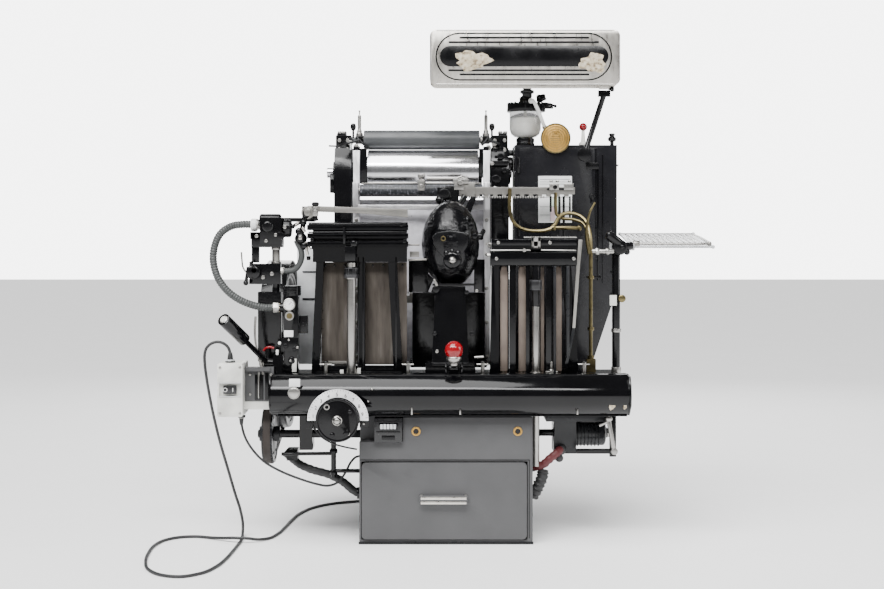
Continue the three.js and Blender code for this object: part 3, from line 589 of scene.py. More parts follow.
def coil_turns():
    """Two layers of two turns: inwards along the floor, then outwards on top, ending at the plug."""
    outer, inner = COIL_RADII
    first, second = 5.5, 15.8  # heights of the two layers
    points, steps = [], 24
    for turn in range(4):
        for i in range(steps):
            part = i / steps
            ease = max(0.0, (part - 0.75) * 4)
            radius = [outer + (inner - outer) * ease, inner, inner + (outer - inner) * ease, outer][turn]
            height = [first, first + (second - first) * ease, second, second][turn]
            angle = math.tau * part - math.pi / 2
            points.append((COIL_CENTRE[0] + radius * math.cos(angle),
                           COIL_CENTRE[1] + radius * math.sin(angle), height))
    return points + [(-190, 740, second), (-162, 740, 20), (-134.5, *PLUG)]


def length_of(path):
    return sum((b - a).length for a, b in zip(path, path[1:])) / 1000


def cord_curve(name, path, radius, material):
    """One open spline through the path, with a round section."""
    data = bpy.data.curves.new(name, "CURVE")
    data.dimensions = "3D"
    data.bevel_depth = radius / 1000
    data.bevel_resolution = 3
    data.use_fill_caps = True
    spline = data.splines.new("POLY")
    spline.points.add(len(path) - 1)
    for point, here in zip(spline.points, path):
        point.co = (*place(*here), 1)
    spline.use_smooth = True
    data.materials.append(material)
    obj = add(name, data)
    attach(obj, "frame")
    return obj


def mains_cord():
    path = smooth_path(MAINS_ROUTE + coil_turns(), 6)
    cord = cord_curve("mains_cord", path, MAINS_RADIUS, RUBBER)
    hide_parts("mains_lead", "mains_coil")
    relief = fixed("mains_relief", RUBBER, lathe("z", [(10, 616.5), (9.5, 622), (6.2, 641)], MAINS_GLAND),
                   bevel=0.5)
    cuff = fixed("plug_relief", WHITE, lathe("x", [(6.4, -170), (9, -150), (11, -133)], PLUG), bevel=0.5)
    pins = [rod("x", 2.4, (-38, -14), (PLUG[0] + side * 9.5, PLUG[1]), 14) for side in (-1, 1)]
    prongs = fixed("plug_pins", STEEL, *pins, bevel=0.4)
    ridges = [washer("x", 24.8, 22, (-126 + i * 7, -123 + i * 7), PLUG) for i in range(7)]
    grip = fixed("plug_grip", WHITE, *ridges, bevel=0.3)
    with_pieces = [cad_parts["mains_plug"], relief, cuff, prongs, grip, coil_tie()]
    tuple(place(*MAINS_ROUTE[0]))
    length_of(path)


def coil_tie():
    """A strap round both layers of the mains coil, open where it lies on the floor."""
    band = [box((-195, -185), (842, 869), (22.4, 24.2)), box((-195, -185), (842, 844), (0.4, 24.2)),
            box((-195, -185), (867.2, 869.2), (0.4, 24.2))]
    return fixed("coil_tie", PLASTIC, *band, bevel=0.4)


def motor_cord():
    path = smooth_path(MOTOR_ROUTE, 6)
    cord = cord_curve("motor_cord", path, MOTOR_RADIUS, RUBBER)
    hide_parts("motor_lead")
    relief = fixed("motor_relief", RUBBER, lathe("z", [(5, 397), (7.5, 414), (8, 420.5)], MOTOR_GLAND),
                   bevel=0.5)
    tuple(place(*MOTOR_ROUTE[0]))
    length_of(path)


def ribbed_hose():
    path = smooth_path(HOSE_ROUTE, 1.2)
    ridge, pitch = 2.4, 9.0
    ribbed = sweep(path, lambda s: HOSE_RADIUS - ridge + ridge * abs(math.cos(math.pi * s / pitch)) ** 0.5,
                   20)
    hose = fixed("ribbed_hose", HOSE, ribbed, bevel=0)
    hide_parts("suction_hose")
    collars = [bolt("x", 19, -661, 26, HOSE_TOP, 8), bolt("x", 19, -584, 24, HOSE_FOOT)]
    nuts = fixed("hose_collars", STEEL, *collars)
    tuple(place(*HOSE_ROUTE[0]))
    length_of(path)
    [tuple(place(*p)) for p in path[::6] + [path[-1]]]


make_camera()
mains_cord()
motor_cord()
ribbed_hose()


# ---- lamp hood and jar
HOOD_FACE = 365


def blob(centre, size, y, seed, points=40):
    """An uneven flat patch facing the front."""
    edge = []
    for i in range(points):
        a = math.tau * i / points
        swell = 1 + 0.16 * math.sin(3 * a + seed) + 0.10 * math.sin(7 * a + 2 * seed) + 0.05 * math.sin(13
            * a + seed)
        edge.append((centre[0] + size[0] * swell * math.cos(a), centre[1] + size[1] * swell * math.sin(a)))
    return outline("y", edge, y)


def ring_outline(outer, inner, y):
    """A flat ring between two outlines of the same count."""
    count = len(outer)
    verts = [(a, height, b) for points in (outer, inner) for height in y for a, b in points]
    faces = []
    for i in range(count):
        j = (i + 1) % count
        for a, b in ((0, 1), (3, 2), (1, 3), (2, 0)):
            faces.append((a * count + i, a * count + j, b * count + j, b * count + i))
    return verts, faces


def lamp_details():
    skin = (HOOD_FACE - 1.2, HOOD_FACE + 0.5)
    raised = (HOOD_FACE - 1.6, HOOD_FACE + 0.5)
    ring = ring_outline(stadium((-37, 600), (1591, 1764)), stadium((-32, 595), (1596, 1759)), skin)
    stripes = [stadium((49, 518), (1742.4, 1749.4), 3), stadium((10, 553), (1726, 1733), 3),
               stadium((9, 553), (1624.6, 1631.6), 3), stadium((49, 518), (1609.6, 1616.6), 3)]
    band = outline("y", stadium((-21, 586), (1642, 1716.5)), skin)
    piece("hood_lines", "lamp_hood", BLACK_SATIN, ring, band, *[outline("y", s, skin) for s in stripes],
          bevel=0.3)
    piece("hood_filler", "lamp_hood", CREAM, blob((96, 1664), (62, 34), raised, 1.0),
          blob((531, 1654), (46, 34), raised, 4.2), bevel=0.4)
    rim_bars = [rod("x", 2.4, (-33, 605), (HOOD_FACE + 1, z), 10) for z in (1578.5, 1771.5)]
    rim_bars += [rod("z", 2.4, (1599, 1751), (x, HOOD_FACE + 1), 10) for x in (-53.6, 625.6)]
    piece("hood_rim", "lamp_hood", STEEL, *rim_bars, bevel=0)
    tube = rod("x", 13, (10, 562), LAMP_AXIS, 20)
    caps = [rod("x", 14, span, LAMP_AXIS, 20) for span in ((-4, 14), (558, 576))]
    sockets = [box((-14, 2), (408, 442), (1618, 1690)), box((570, 586), (408, 442), (1618, 1690))]
    piece("lamp_tube", "lamp_hood", LIGHT, tube, bevel=0.3)
    piece("lamp_sockets", "lamp_hood", WHITE, *caps, *sockets, bevel=1)
    tray_box = box((60, 520), (402, 446), (1694, 1726))
    piece("lamp_ballast", "lamp_hood", PALE, tray_box, bevel=2)
    knob = bolt("x", 10, 602, 12, HOOD_PIVOT, 18)
    piece("hood_pivot_knob", "lamp_hood", BLACK_SATIN, knob, rod("x", 4.5, (594, 603), HOOD_PIVOT, 16))


def jar_details():
    finial = lathe("z", [(18.5, 1546), (18.5, 1560), (25, 1562), (27, 1568), (24, 1573), (15, 1575),
                         (17, 1582), (15, 1588)], (303, 520))
    flutes = [rod("z", 4.2, (1493, 1526), spot, 10) for spot in on_circle((300, 520), 66.5, turns(22))]
    cock = [bar((340, 500, 1530), (368, 486, 1543), 9), ball(11, (346, 497, 1545)),
            bolt("z", 9, 1540, 16, (360, 492)), bar((366, 488, 1520), (386, 480, 1515), 6.5),
            bar((384, 481, 1520), (404, 476, 1510), 3.6), ball(6, (404, 476, 1510))]
    fixed("jar_fittings", BLACK_GLOSS, finial, *flutes, *cock)
    collar = lathe("z", [(26, 1366), (34, 1368), (34, 1376), (31, 1379), (34, 1382), (34, 1394),
                         (26, 1397)], JAR)
    fixed("jar_foot", BLACK_SATIN, collar)
    spring = [washer("z", 27 - i * 1.5, 15, (1392 + i * 5.4, 1395 + i * 5.4), JAR) for i in range(4)]
    fixed("jar_spring", BRASS, *spring, bevel=0.3)
    powder = lathe("z", [(20, 1397), (36, 1403), (48, 1414), (53, 1430), (54.5, 1450), (54.5, 1466),
                         (48, 1470), (20, 1474)], JAR)
    stem = rod("z", 4, (1462, 1496), JAR)
    fixed("jar_powder", POWDER, powder, stem, bevel=0.5)
    fixed("jar_tube", WHITE, pipe([(312, 449, 1526), (318, 446, 1528), (326, 447, 1518), (338, 450, 1494),
                                   (350, 455, 1466), (358, 461, 1446), (364, 466, 1432)], 4, 7),
          ball(10, (313, 450, 1527)), bevel=0)
    fixed("jar_tube_end", BRASS, bar((362, 466, 1436), (368, 472, 1424), 8.5), bevel=0.5)


def disc_details():
    rings = [washer("y", outer, inner, (433.6, 437), DISC, 48) for outer,
             inner in ((55, 50.5), (44, 43), (35, 34.3), (26, 25.4))]
    stripes = [box((402 - half, 402 + half), (434.6, 437), (z - 0.5, z + 0.5))
               for half, z in ((12, 1404), (18, 1396), (20, 1388), (18, 1380), (11, 1373))]
    fixed("brass_plate_rings", BRASS, *rings, *stripes, bevel=0.3)
    fixed("brass_plate_boss", BRASS_DISC, bolt("y", 6, 437, -5, (402, 1412), 20), bevel=0.4)


# ---- cabinet
def cabinet_details():
    fixed("cabinet_label", PAPER, box((339, 462), (442.4, 444.4), (1080, 1251)), bevel=0.2)
    rows = [box((345, 456), (441.9, 443), (z, z + 1.1)) for z in (1238, 1229, 1221, 1172, 1138, 1108)]
    rows += [box((x, x + 1), (441.9, 443), (1086, 1172)) for x in (382, 420)]
    fixed("label_lines", DARK_GREY, *rows, bevel=0)
    fixed("label_green", GREEN_PAPER, box((383.5, 419), (441.7, 443), (1139.5, 1171)), bevel=0)
    fixed("label_pink", PINK_PAPER, box((383.5, 400), (441.7, 443), (1087, 1137)), bevel=0)
    seam = [box((549, 552.5), (447, 451.5), (1010, 1352)), box((556, 561), (446, 451.5), (870, 1300)),
            box((574, 577), (447, 451.5), (860, 1330))]
    fixed("cabinet_channel", BLACK_GLOSS, *seam, bevel=0.8)
    hinge = [rod("z", 6, (z, z + 58), (266, 444)) for z in (1030, 1262)]
    catch = [bolt("y", 10, 444, -7, (536, 1175), 20), bar((536, 438, 1175), (536, 436, 1150), 4)]
    screws = bolts("y", 6, 450, -4, [(x, z) for x in (268, 610) for z in (820, 900)])
    fixed("cabinet_hardware", BLACK_SATIN, *hinge, *catch, *screws)
    knob = lathe("z", [(7, 1364), (7, 1378), (14, 1382), (16, 1390), (11, 1396), (8, 1399), (12, 1404),
                       (9, 1409)], (612, 470))
    pin = bar((624, 500, 1293), (640, 500, 1293), 3.5)
    pegs = bolts("z", 8, 1364, 8, ((270, 630), (610, 630)))
    fixed("cabinet_pins", BLACK_SATIN, knob, pin, *pegs)
    boss = lathe("y", [(25, 446), (25, 432), (20, 426), (10, 424)], (507, 1329))
    hub = bolt("y", 12, 425, -9, (506, 1328))
    plate = box((514, 560), (438, 450), (1276, 1300))
    fixed("lamp_boss", BLACK_SATIN, boss, plate, bevel=1.2)
    piece("lamp_boss_nut", "lamp_arm", STEEL, hub)
    back = [box((300, 590), (638, 644), (z, z + 9)) for z in range(900, 1300, 44)]
    fixed("cabinet_louvres", BLACK_SATIN, *back, bevel=1.5)


def spray_lever_details():
    stem = lathe("z", [(9.4, 1377), (8, 1384), (6, 1412), (5.5, 1420)], (507, 480))
    piece("spray_stem", "spray_lever", PALE, stem)
    fixed("spray_collar", PALE, lathe("z", [(16, 1365.5), (16, 1373), (11, 1378)], (507, 480)))


# ---- ink unit
def spindle(x, knob_x):
    post = lathe("z", [(11, 1392), (13, 1398), (13, 1412), (9, 1416), (9, 1424), (6.5, 1426), (6.5, 1478),
                       (4, 1481), (2.4, 1484), (2.4, 1492), (3.6, 1494), (3.2, 1499)], (x, 520))
    knob = lathe("z", [(4, 1386), (4, 1424), (9, 1427), (11, 1438), (9, 1447), (4, 1450)], (knob_x, 516))
    return post, knob


def ink_details():
    left_post, left_knob = spindle(-320, -343)
    right_post, right_knob = spindle(150, 172)
    fixed("ink_spindles", STEEL, left_post, right_post)
    blocks = [box((-334, -306), (498, 542), (1374, 1402)), box((137, 163), (498, 542), (1374, 1402)),
              box((-402, -368), (494, 545), (1402, 1412)), box((196, 228), (494, 545), (1402, 1412))]
    screws = bolts("z", 8, 1411, 9, [(x, y) for x in (-392, -376, 203, 221) for y in (504, 536)])
    screws += bolts("y", 8, 495, -8, [(x, z) for x in (-392, -362, 182, 218) for z in (1352, 1385)])
    fixed("ink_bearings", BLACK_SATIN, *blocks, left_knob, right_knob, bevel=1.6)
    fixed("ink_screws", STEEL, *screws)
    links = [bar((-400, 500, 1364), (-432, 496, 1365), 3.2), bar((-330, 494, 1398), (-300, 486, 1368), 4.5),
             bar((160, 494, 1398), (134, 486, 1366), 4.5), bar((-352, 490, 1340), (-352, 490, 1395), 5),
             bar((-366, 486, 1372), (-318, 486, 1386), 5.5), bar((158, 486, 1386), (200, 486, 1370), 5.5)]
    nuts = bolts("y", 11, 492, -10, ((-352, 1375), (-330, 1362), (180, 1372), (158, 1358)))
    fixed("ink_links", DARK_GREY, *links)
    fixed("ink_nuts", STEEL, *nuts)
    # painted light: pale blocks fill the holes in the left ink frame, standing in for bright light seen
    # through them
    hole_light_patches = [box((-352, -346), (470, 500), (z, z + 26)) for z in (1345, 1308, 1271)]
    fixed("ink_frame_hole_light", PALE_GREY, *hole_light_patches, bevel=1.5)
    wing = outline("x", [(442, 1190), (442, 1240), (462, 1262), (500, 1262), (500, 1190)], (-424, -408.5))
    bridge = box((-341, -316), (481, 500), (1212, 1362))
    right_bridge = box((139, 160), (481, 500), (1262, 1362))
    fixed("ink_side_plates", BLACK, wing, bridge, right_bridge, bevel=2)
    cluster = [lathe("x", [(26, 233), (30, 236), (30, 246), (22, 250)], (520, 1296)),
               rod("x", 12, (233, 252), (520, 1340)), box((170, 230), (432, 441), (1290, 1306)),
               bolt("y", 13, 439, -12, (200, 1322)), bolt("y", 9, 439, -12, (182, 1345)),
               bolt("y", 10, 439, -14, (214, 1270)), bolt("y", 16, 439, -9, (186, 1240), 20)]
    fixed("ink_drive_side", BLACK_SATIN, *cluster)
    bright = [bolt("y", 8, 439, -13, (170, 1296)), bolt("y", 7, 439, -12, (216, 1345)),
              bar((176, 434, 1210), (222, 434, 1198), 5)]
    fixed("ink_drive_bright", STEEL, *bright)
    shoulders = [washer("x", 61.5, 19.4, span, DRUM_AXIS, 48) for span in ((-304, -287.5), (121.5, 134.5))]
    piece("drum_flanges", "ink_drum", BLACK_GLOSS, *shoulders, bevel=1)
    cheeks = [box((-313.5, -289), (450, 458), (1224, 1352)), box((122.5, 137.5), (450, 458), (1262, 1352))]
    fixed("drum_cheeks", BLACK, *cheeks, bevel=1)
    piece("rider_collars", "rider_roller", STEEL, *[washer("x", 17, 11.2, span, RIDER_AXIS, 24)
        for span in ((-312, -305), (129, 136))], bevel=0.8)
    ends = [washer("x", 15, 6, span, FORM_AXIS, 24) for span in ((-316.5, -312.6), (135.6, 139.5))]
    piece("form_roller_collars", "form_roller", STEEL, *ends, bevel=0.5)


def bed_details():
    heads = bolts("y", 7, 446.5, -6, [(x, z) for x in (-327, 150) for z in range(590, 1340, 125)], 20)
    fixed("rail_bolts", STEEL, *heads, bevel=0.6)
    covers = [box(span, (444.6, 446.2), (560, 1344)) for span in ((-338.5, -315.5), (138.5, 161.5))]
    fixed("rail_faces", RAIL, *covers, bevel=0.5)
    apron = [box((-129, -60), (188, 200), (836, 950)), box((98, 135), (188, 200), (836, 950))]
    fixed("hub_apron", BLACK, *apron, bevel=2)


# ---- hub and grippers
def hub_details():
    flange = bolts("y", 7, 288.5, -8, on_circle(HUB, 60, turns(8, 0.2)))
    fixed("hub_bolts", BLACK_SATIN, *flange)
    lip = lathe("y", [(26, 96), (32, 88), (31, 78), (24, 72), (15, 70)], (22, 950))
    brows = [ball(11, (x, 80, z)) for x, z in ((2, 972), (22, 978), (42, 972))]
    fixed("hub_nose", STEEL, ball(13, (22, 66, 948)), bevel=0)
    fixed("hub_nose_ring", BLACK_GLOSS, lip, *brows, bevel=0.8)
    face = [(-46, 1030), (-30, 1044), (14, 1050), (60, 1044), (78, 1028), (72, 994), (52, 962), (24, 944),
            (0, 950), (-26, 976), (-42, 1004)]
    plate = outline("y", face, (76, 92))
    fixed("hub_face", BLACK_SATIN, plate, bevel=5)
    fixed("hub_eye", BRASS, washer("y", 9, 5, (73, 77), (-9, 1022), 24), bevel=0.4)
    caps = bolts("y", 11, 100, -18, ((-52, 1070), (84, 1064), (98, 1030)), 20)
    oil = lathe("z", [(8, 1110), (8, 1140), (11, 1143), (11, 1152), (7, 1156)], (10, 180))
    ribs = [bar((x, 150, 1104), (x * 1.3 - 4, 120, 1082), 9) for x in (-30, 16, 62)]
    fixed("hub_fittings", BLACK_GLOSS, *caps, oil, *ribs, bevel=1)
    arm = [bolt("x", 13, 108, 22, (188, 1030), 20), bar((122, 188, 1030), (132, 210, 1050), 8)]
    panel = [box((-46, 96), (66, 71), (862, 870)), box((-46, 96), (66, 71), (590, 598)),
             bolt("y", 13, 70, -10, (-34, 850), 20), bolt("y", 9, 70, -9, (70, 840)),
             bolt("y", 9, 70, -9, (-38, 700)), bolt("y", 9, 70, -9, (88, 700)),
             bar((-44, 64, 900), (-30, 62, 878), 5)]
    fixed("pedestal_fittings", BLACK_SATIN, *arm, *panel, bevel=1)
    fixed("pedestal_screws", STEEL, bar((-40, 62, 884), (-30, 60, 862), 4),
          bolt("y", 6, 69, -6, (104, 845), 6), bar((96, 66, 620), (128, 62, 622), 4.5),
          bolt("y", 7, 69, -6, (-30, 640), 6))


def teeth(x, z, width, count, drop):
    step = (x[1] - x[0]) / count
    return [box((x[0] + (i + 0.15) * step, x[0] + (i + 0.85) * step), width, (z - drop, z + 1))
            for i in range(count)]


def gripper_pieces(flip):
    """The clamps, teeth and pins of one bar; flip turns them half round the hub for the other bar."""
    steel = teeth((62, 356), 1173, (346, 352), 32, 6)
    steel += [box((x, x + 34), (340, 352), (1196, 1219)) for x in (30, 372, 424)]
    steel += [bolt("z", 6, 1224, 8, (x, 366)) for x in (34, 62, 380, 402, 446)]
    steel += [box((26, 82), (338, 350), (1219, 1236)), bar((-68, 372, 1238), (78, 372, 1238), 8),
              bolt("y", 10, 339, -10, (52, 1222), 20), bar((34, 345, 1236), (60, 345, 1246), 4)]
    dark = [bar((x, 352, 1174), (x, 350, bottom), r) for x, bottom, r in
            ((377, 1118, 4), (408, 1040, 4), (424, 1010, 4.5), (446, 1098, 3.5))]
    dark += [box((364, 440), (342, 352), (1196, 1203)), bolt("y", 8, 345, -7, (392, 1206), 20)]
    root = [bolt("y", 22, 344, -14, (-6, 1182), 20), box((-30, 20), (336, 348), (1168, 1206)),
            ball(16, (-22, 340, 1160)), bar((70, 345, 1176), (30, 345, 1110), 11)]
    shapes = []
    for group in (steel, dark, root):
        shapes.append([turned_about(s, along("y", *HUB, 0), math.pi) for s in group] if flip else group)
    return shapes


def gripper_details():
    for name, flip in (("upper", False), ("lower", True)):
        steel, dark, root = gripper_pieces(flip)
        piece(f"gripper_clamps_{name}", "grippers", STEEL, *steel, bevel=0.8)
        piece(f"gripper_pins_{name}", "grippers", BLACK_SATIN, *dark, bevel=0.6)
        piece(f"gripper_root_{name}", "grippers", BLACK_SATIN, *root, bevel=1.4)


def clip_details():
    clip = [box((-101, -76), (392, 404), (1196, 1236)), lathe("z",
        [(7, 1236), (7, 1242), (14, 1244), (14, 1254), (10, 1256)], (-88, 398)),
            bolt("y", 8, 393, -8, (-88, 1212), 20)]
    piece("sheet_clip", "carriage", STEEL, *clip, bevel=1)
    wiper = [box((-310, -104), (440, 446), (1221, 1226)), box((-73, 132), (440, 446), (1221, 1226))]
    piece("carriage_wiper", "carriage", STEEL, *wiper, bevel=0.5)


# ---- feed table
def tee_handle(x, y):
    """A T-handle nut: a round hub with a bar across and a stud above it."""
    hub = lathe("z", [(13, 555.2), (13, 561), (9, 564), (9, 578), (6, 581)], (x, y))
    return hub, bar((x - 20, y - 9, 571), (x + 20, y + 9, 571), 4), rod("z", 4.5, (580, 606), (x, y), 14)


def clamp_trim():
    spots = {"feed_clamp_left": (-405, 52), "feed_clamp_right": (-128, 52),
             "delivery_clamp_left": (124, 56), "delivery_clamp_right": (466, 56)}
    for body, (x, y) in spots.items():
        piece(f"{body}_nut", body, BLACK_SATIN, bolt("z", 9, 604, 5, (x, y)), bevel=0.5)
        fixed(f"{body}_washer", STEEL, washer("z", 17, 8, (TABLE_TOP, 557), (x, y)), bevel=0.3)
    handles = [shape for x, y in ((-310, 60), (356, 62)) for shape in tee_handle(x, y)]
    fixed("fixed_tee_handles", STEEL, *handles)


def feed_details():
    leaves = [outline("y", [(-466, z), (-131, z + 2), (-131, z + 7), (-466, z + 6)], (50.5, 57))
              for z in (1062, 1034, 1007)]
    edges = [bar((-464, 54, z), (-134, 54, z + 1.5), 2.6) for z in (1071, 1043)]
    knobs = bolts("y", 7, 56, -6, ((-150, 1068), (-140, 1012), (-452, 1018)), 20)
    fixed("feed_head_ribs", BLACK_LUMPY, *leaves, bevel=1.4)
    fixed("feed_head_edges", BLACK_GLOSS, *edges, *knobs, bevel=0.5)
    block = [box((-340, -304), (36, 52), (946, 996)), lathe("z", [(13, 996), (13, 1012), (8, 1016)],
        (-310, 46)), box((-346, -338), (40, 50), (1004, 1058)),
             lathe("z", [(21, 896), (24, 900), (24, 922), (20, 927)], FEED_COLUMN)]
    fixed("feed_column_head", BLACK_SATIN, *block, bevel=1.6)
    fixed("feed_column_ring", STEEL, washer("z", 17.5, 15.2, (885, 894), FEED_COLUMN),
          washer("z", 20, 15.2, (TABLE_TOP, 566), FEED_COLUMN), bevel=1)
    rails = [box(span, (74, 80), (560, 960)) for span in ((-300, -294), (-283, -277), (-172, -166))]
    fixed("feed_guide_strips", BLACK_SATIN, *rails, bevel=1)
    fixed("feed_guide_foot", STEEL_BAR, box((-424, -300), (108, 115), (592, 604)), bevel=1)
    fixed("feed_foot_bar", BLACK_SATIN, box((-440, -150), (70, 78), (560, 572)), bevel=1.2)
    tabs = [box((-300, -288), (60, 70), (556, 584)), box((-358, -346), (60, 70), (556, 578))]
    fixed("feed_tabs", PALE, *tabs, bevel=1)
    teeth_row = [box((-460 + 13 * i, -453 + 13 * i), (150, 156), (986, 1004)) for i in range(25)]
    piece("feed_board_slats", "feed_board", BLACK_LUMPY, *teeth_row, bevel=0.8)
    spindle_ends = [bolt("z", 9, 942, 6, (x, 92)) for x in (-440, -160)]
    fixed("feed_frame_bolts", STEEL, *spindle_ends)
    plate = [bar((-128, 146, 1000), (-90, 146, 1000), 3),
             bar((-130, 140, 948), (-66, 140, 950), 4), box((-124, -92), (140, 150), (958, 978))]
    fixed("feed_side_catch", STEEL_BAR, *plate, bevel=0.8)
    ticks = [box((-426, -418), (109.5, 112), (z, z + 1.5)) for z in range(620, 930, 31)]
    rivets = [bolt("y", 4, 112, -2, (x, 930), 14) for x in (-412, -380, -346, -286, -250, -214, -180, -148)]
    fixed("guide_plate_rivets", BLACK_SATIN, *ticks, *rivets, bevel=0.3)


# ---- delivery table
def delivery_details():
    top = [box((158, 288), (46, 56), (998, 1019)), box((318, 440), (46, 56), (998, 1019)),
           box((150, 442), (50, 56), (932, 976))]
    fixed("delivery_bars", BLACK_GLOSS, *top, bevel=1.5)
    silver = [box((262, 441), (44, 58), (1024, 1028)), box((288, 296), (42, 52), (990, 1026)),
              box((309, 318), (42, 52), (990, 1026)), box((288, 318), (42, 52), (1012, 1026)),
              box((288, 318), (42, 52), (990, 996)), bar((150, 48, 982), (285, 48, 983), 2.6),
              bar((320, 48, 983), (438, 48, 982), 2.6)]
    fixed("delivery_trim", STEEL, *silver, bevel=0.8)
    slant = [(447, 1018), (461, 1018), (452, 930), (436, 720), (426, 720), (440, 930)]
    fixed("delivery_slant", STEEL_BAR, outline("y", slant, (52, 58)), bevel=1.4)
    fixed("delivery_slant_foot", DARK_GREY, outline("y", [(436, 720), (426, 720), (402, 600), (412, 600)],
        (52, 58)))
    sleeve = rod("z", 12.6, (792, 932), DELIVERY_COLUMN, 24)
    fixed("delivery_sleeve", BLACK_SATIN, sleeve)
    fixed("delivery_post", STEEL, rod("z", 12.5, (556, 792), DELIVERY_COLUMN, 24), bevel=0.5)
    dark = [box(span, (62, 70), (556, 934)) for span in ((214, 236), (270, 282), (338, 362))]
    fixed("delivery_slats", BLACK, *dark, bevel=1.4)
    hung = [bar((x, 46, 930), (x, 46, bottom), r) for x, bottom, r in ((366, 560, 5), (410, 620, 6))]
    fixed("delivery_hangers", DARK_GREY, *hung)
    knobs = bolts("y", 6, 46, -5, ((170, 954), (264, 982), (430, 954), (350, 1008), (176, 1008)), 20)
    feet = [lathe("z", [(15, TABLE_TOP), (15, 562), (11, 566), (11, 574)], (x, 100))
            for x in (197, 259, 381)]
    feet += [washer("z", 19, 12.2, (TABLE_TOP, 571), DELIVERY_COLUMN)]
    fixed("delivery_screws", STEEL, *knobs, *feet)
    flats = [outline("y", [(x - 12.5, 572), (x + 12.5, 572), (x + 12.5, 908), (x + 8, 926), (x - 8, 926),
                           (x - 12.5, 908)], (84.5, 87.5)) for x in (197, 259, 381)]
    flats.append(outline("y", [(322, 572), (334, 572), (334, 900), (331, 926), (325, 926), (322, 900)],
                         (91, 93.5)))
    fixed("delivery_flats", SLAT, *flats, bevel=0.8)
    slats = [box((168 + 15 * i, 176 + 15 * i), (150, 156), (943, 959)) for i in range(18)]
    piece("delivery_board_slats", "delivery_board", BLACK_LUMPY, *slats, bevel=0.8)
    left = [bolt("x", 9, 154, -12, (90, 1000), 20), bar((150, 80, 1000), (136, 76, 1004), 4),
            bolt("x", 7, 154, -14, (96, 966))]
    fixed("delivery_side_screws", STEEL, *left)


def tube_details():
    fixed("blower_elbow", BRASS, pipe([(392, 318, 1186), (392, 316, 1130), (396, 314, 1108),
                                       (416, 308, 1094), (452, 300, 1090), (484, 288, 1078),
                                       (498, 276, 1056)], 5, 6), bevel=0)
    ring = [bolt("x", 11, x, 12, (300, 1060), 20) for x in (378, 470)]
    cross = rod("x", 7, (378, 478), (300, 1060), 20)
    fixed("blower_cross_tube", BRASS, cross, *ring, bevel=0.6)
    fixed("blower_lever", BRASS, pipe([(520, 208, 1148), (504, 206, 1118), (494, 206, 1080),
                                       (490, 208, 1036), (493, 210, 1004), (500, 212, 968)], 4,
                                      lambda s: 3.2 + 2.2 * min(1, s / 120)), bevel=0)
    clamps = [washer("z", 11.5, 7.2, span, BLOWER_TUBE, 24) for span in ((880, 892), (700, 712),
        (596, 612))]
    fixed("tube_clamps", BRASS, *clamps, bevel=0.8)
    strap = [box((492, 545), (236, 250), (884, 890)), bolt("z", 5, 890, 5, (540, 243))]
    fixed("tube_strap", BLACK_SATIN, *strap)


# ---- tray
def tray_details():
    joint = [bar((556, 128, 1036), (602, 140, 1000), 17), lathe("y",
        [(22, 122), (25, 126), (25, 146), (20, 150)], TRAY_KNUCKLE),
             bar((596, 132, 992), (640, 146, 998), 14), ball(13, (560, 126, 1034)),
             ball(11, (622, 138, 976))]
    ribs = [washer("y", 27, 20, (y, y + 2.4), TRAY_KNUCKLE, 28) for y in (126, 131, 136, 141)]
    fixed("tray_knuckle", BLACK_SATIN, *joint, *ribs, bevel=1)
    cross = [rod("x", 8, (500, 574), (118, 978), 20), bolt("x", 13, 512, 12, (118, 978)),
             bolt("x", 12, 546, 14, (118, 978), 20)]
    fixed("tray_cross_rod", STEEL, *cross)
    wires = []
    rim = [(652, 160, 1004), (906, 160, 1004), (912, 172, 1005), (912, 486, 1036), (900, 498, 1037),
           (660, 498, 1037)]
    wires.append(sweep(smooth_path(rim, 8), 4.2))
    wires += [bar((x, 164, 1008), (x, 494, 1041), 1.6, 8) for x in range(664, 900, 20)]
    piece("tray_wires", "tray", STEEL, *wires, bevel=0)
    piece("tray_end", "tray", STEEL_BAR, ball(8, (910, 162, 1004)),
          bolt("x", 12, 646, 22, (158, 1003), 20), bevel=0.5)
    band = [washer("z", 17, 14.2, span, TRAY_POST, 24) for span in ((700, 712), (560, 580))]
    fixed("post_bands", STEEL, *band, bevel=0.8)
    fixed("post_tag", PALE, box((562, 586), (130, 134), (792, 828)), bevel=0.8)
    gauge = [lathe("y", [(13, 140), (13, 130), (10, 128)], (604, 816), 24)]
    fixed("post_gauge", BRASS, *gauge, bevel=0.5)


# ---- front beam
def dial_numbers():
    """The numbers 1 to 9 round the speed scale."""
    for i in range(9):
        angle = math.radians(172 - 20 * i)
        reach = 82
        text = bpy.data.curves.new(f"dial_number_{i + 1}", "FONT")
        text.body = str(i + 1)
        text.size = 0.017
        text.extrude = 0.0003
        text.align_x = "CENTER"
        text.align_y = "CENTER"
        text.materials.append(BLACK_SATIN)
        number = add(f"dial_number_{i + 1}", text)
        number.location = place(DIAL[0] + reach * math.cos(angle), -83.2, DIAL[1] + reach * math.sin(angle))
        number.rotation_euler = (math.pi / 2, 0, 0)
        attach(number, "frame")


def arc_plate(centre, inner, outer, angles, y):
    """A flat arc facing the front."""
    steps = 40
    sweep_angles = [angles[0] + (angles[1] - angles[0]) * i / steps for i in range(steps + 1)]
    points = on_circle(centre, outer, sweep_angles) + on_circle(centre, inner, reversed(sweep_angles))
    return outline("y", points, y)


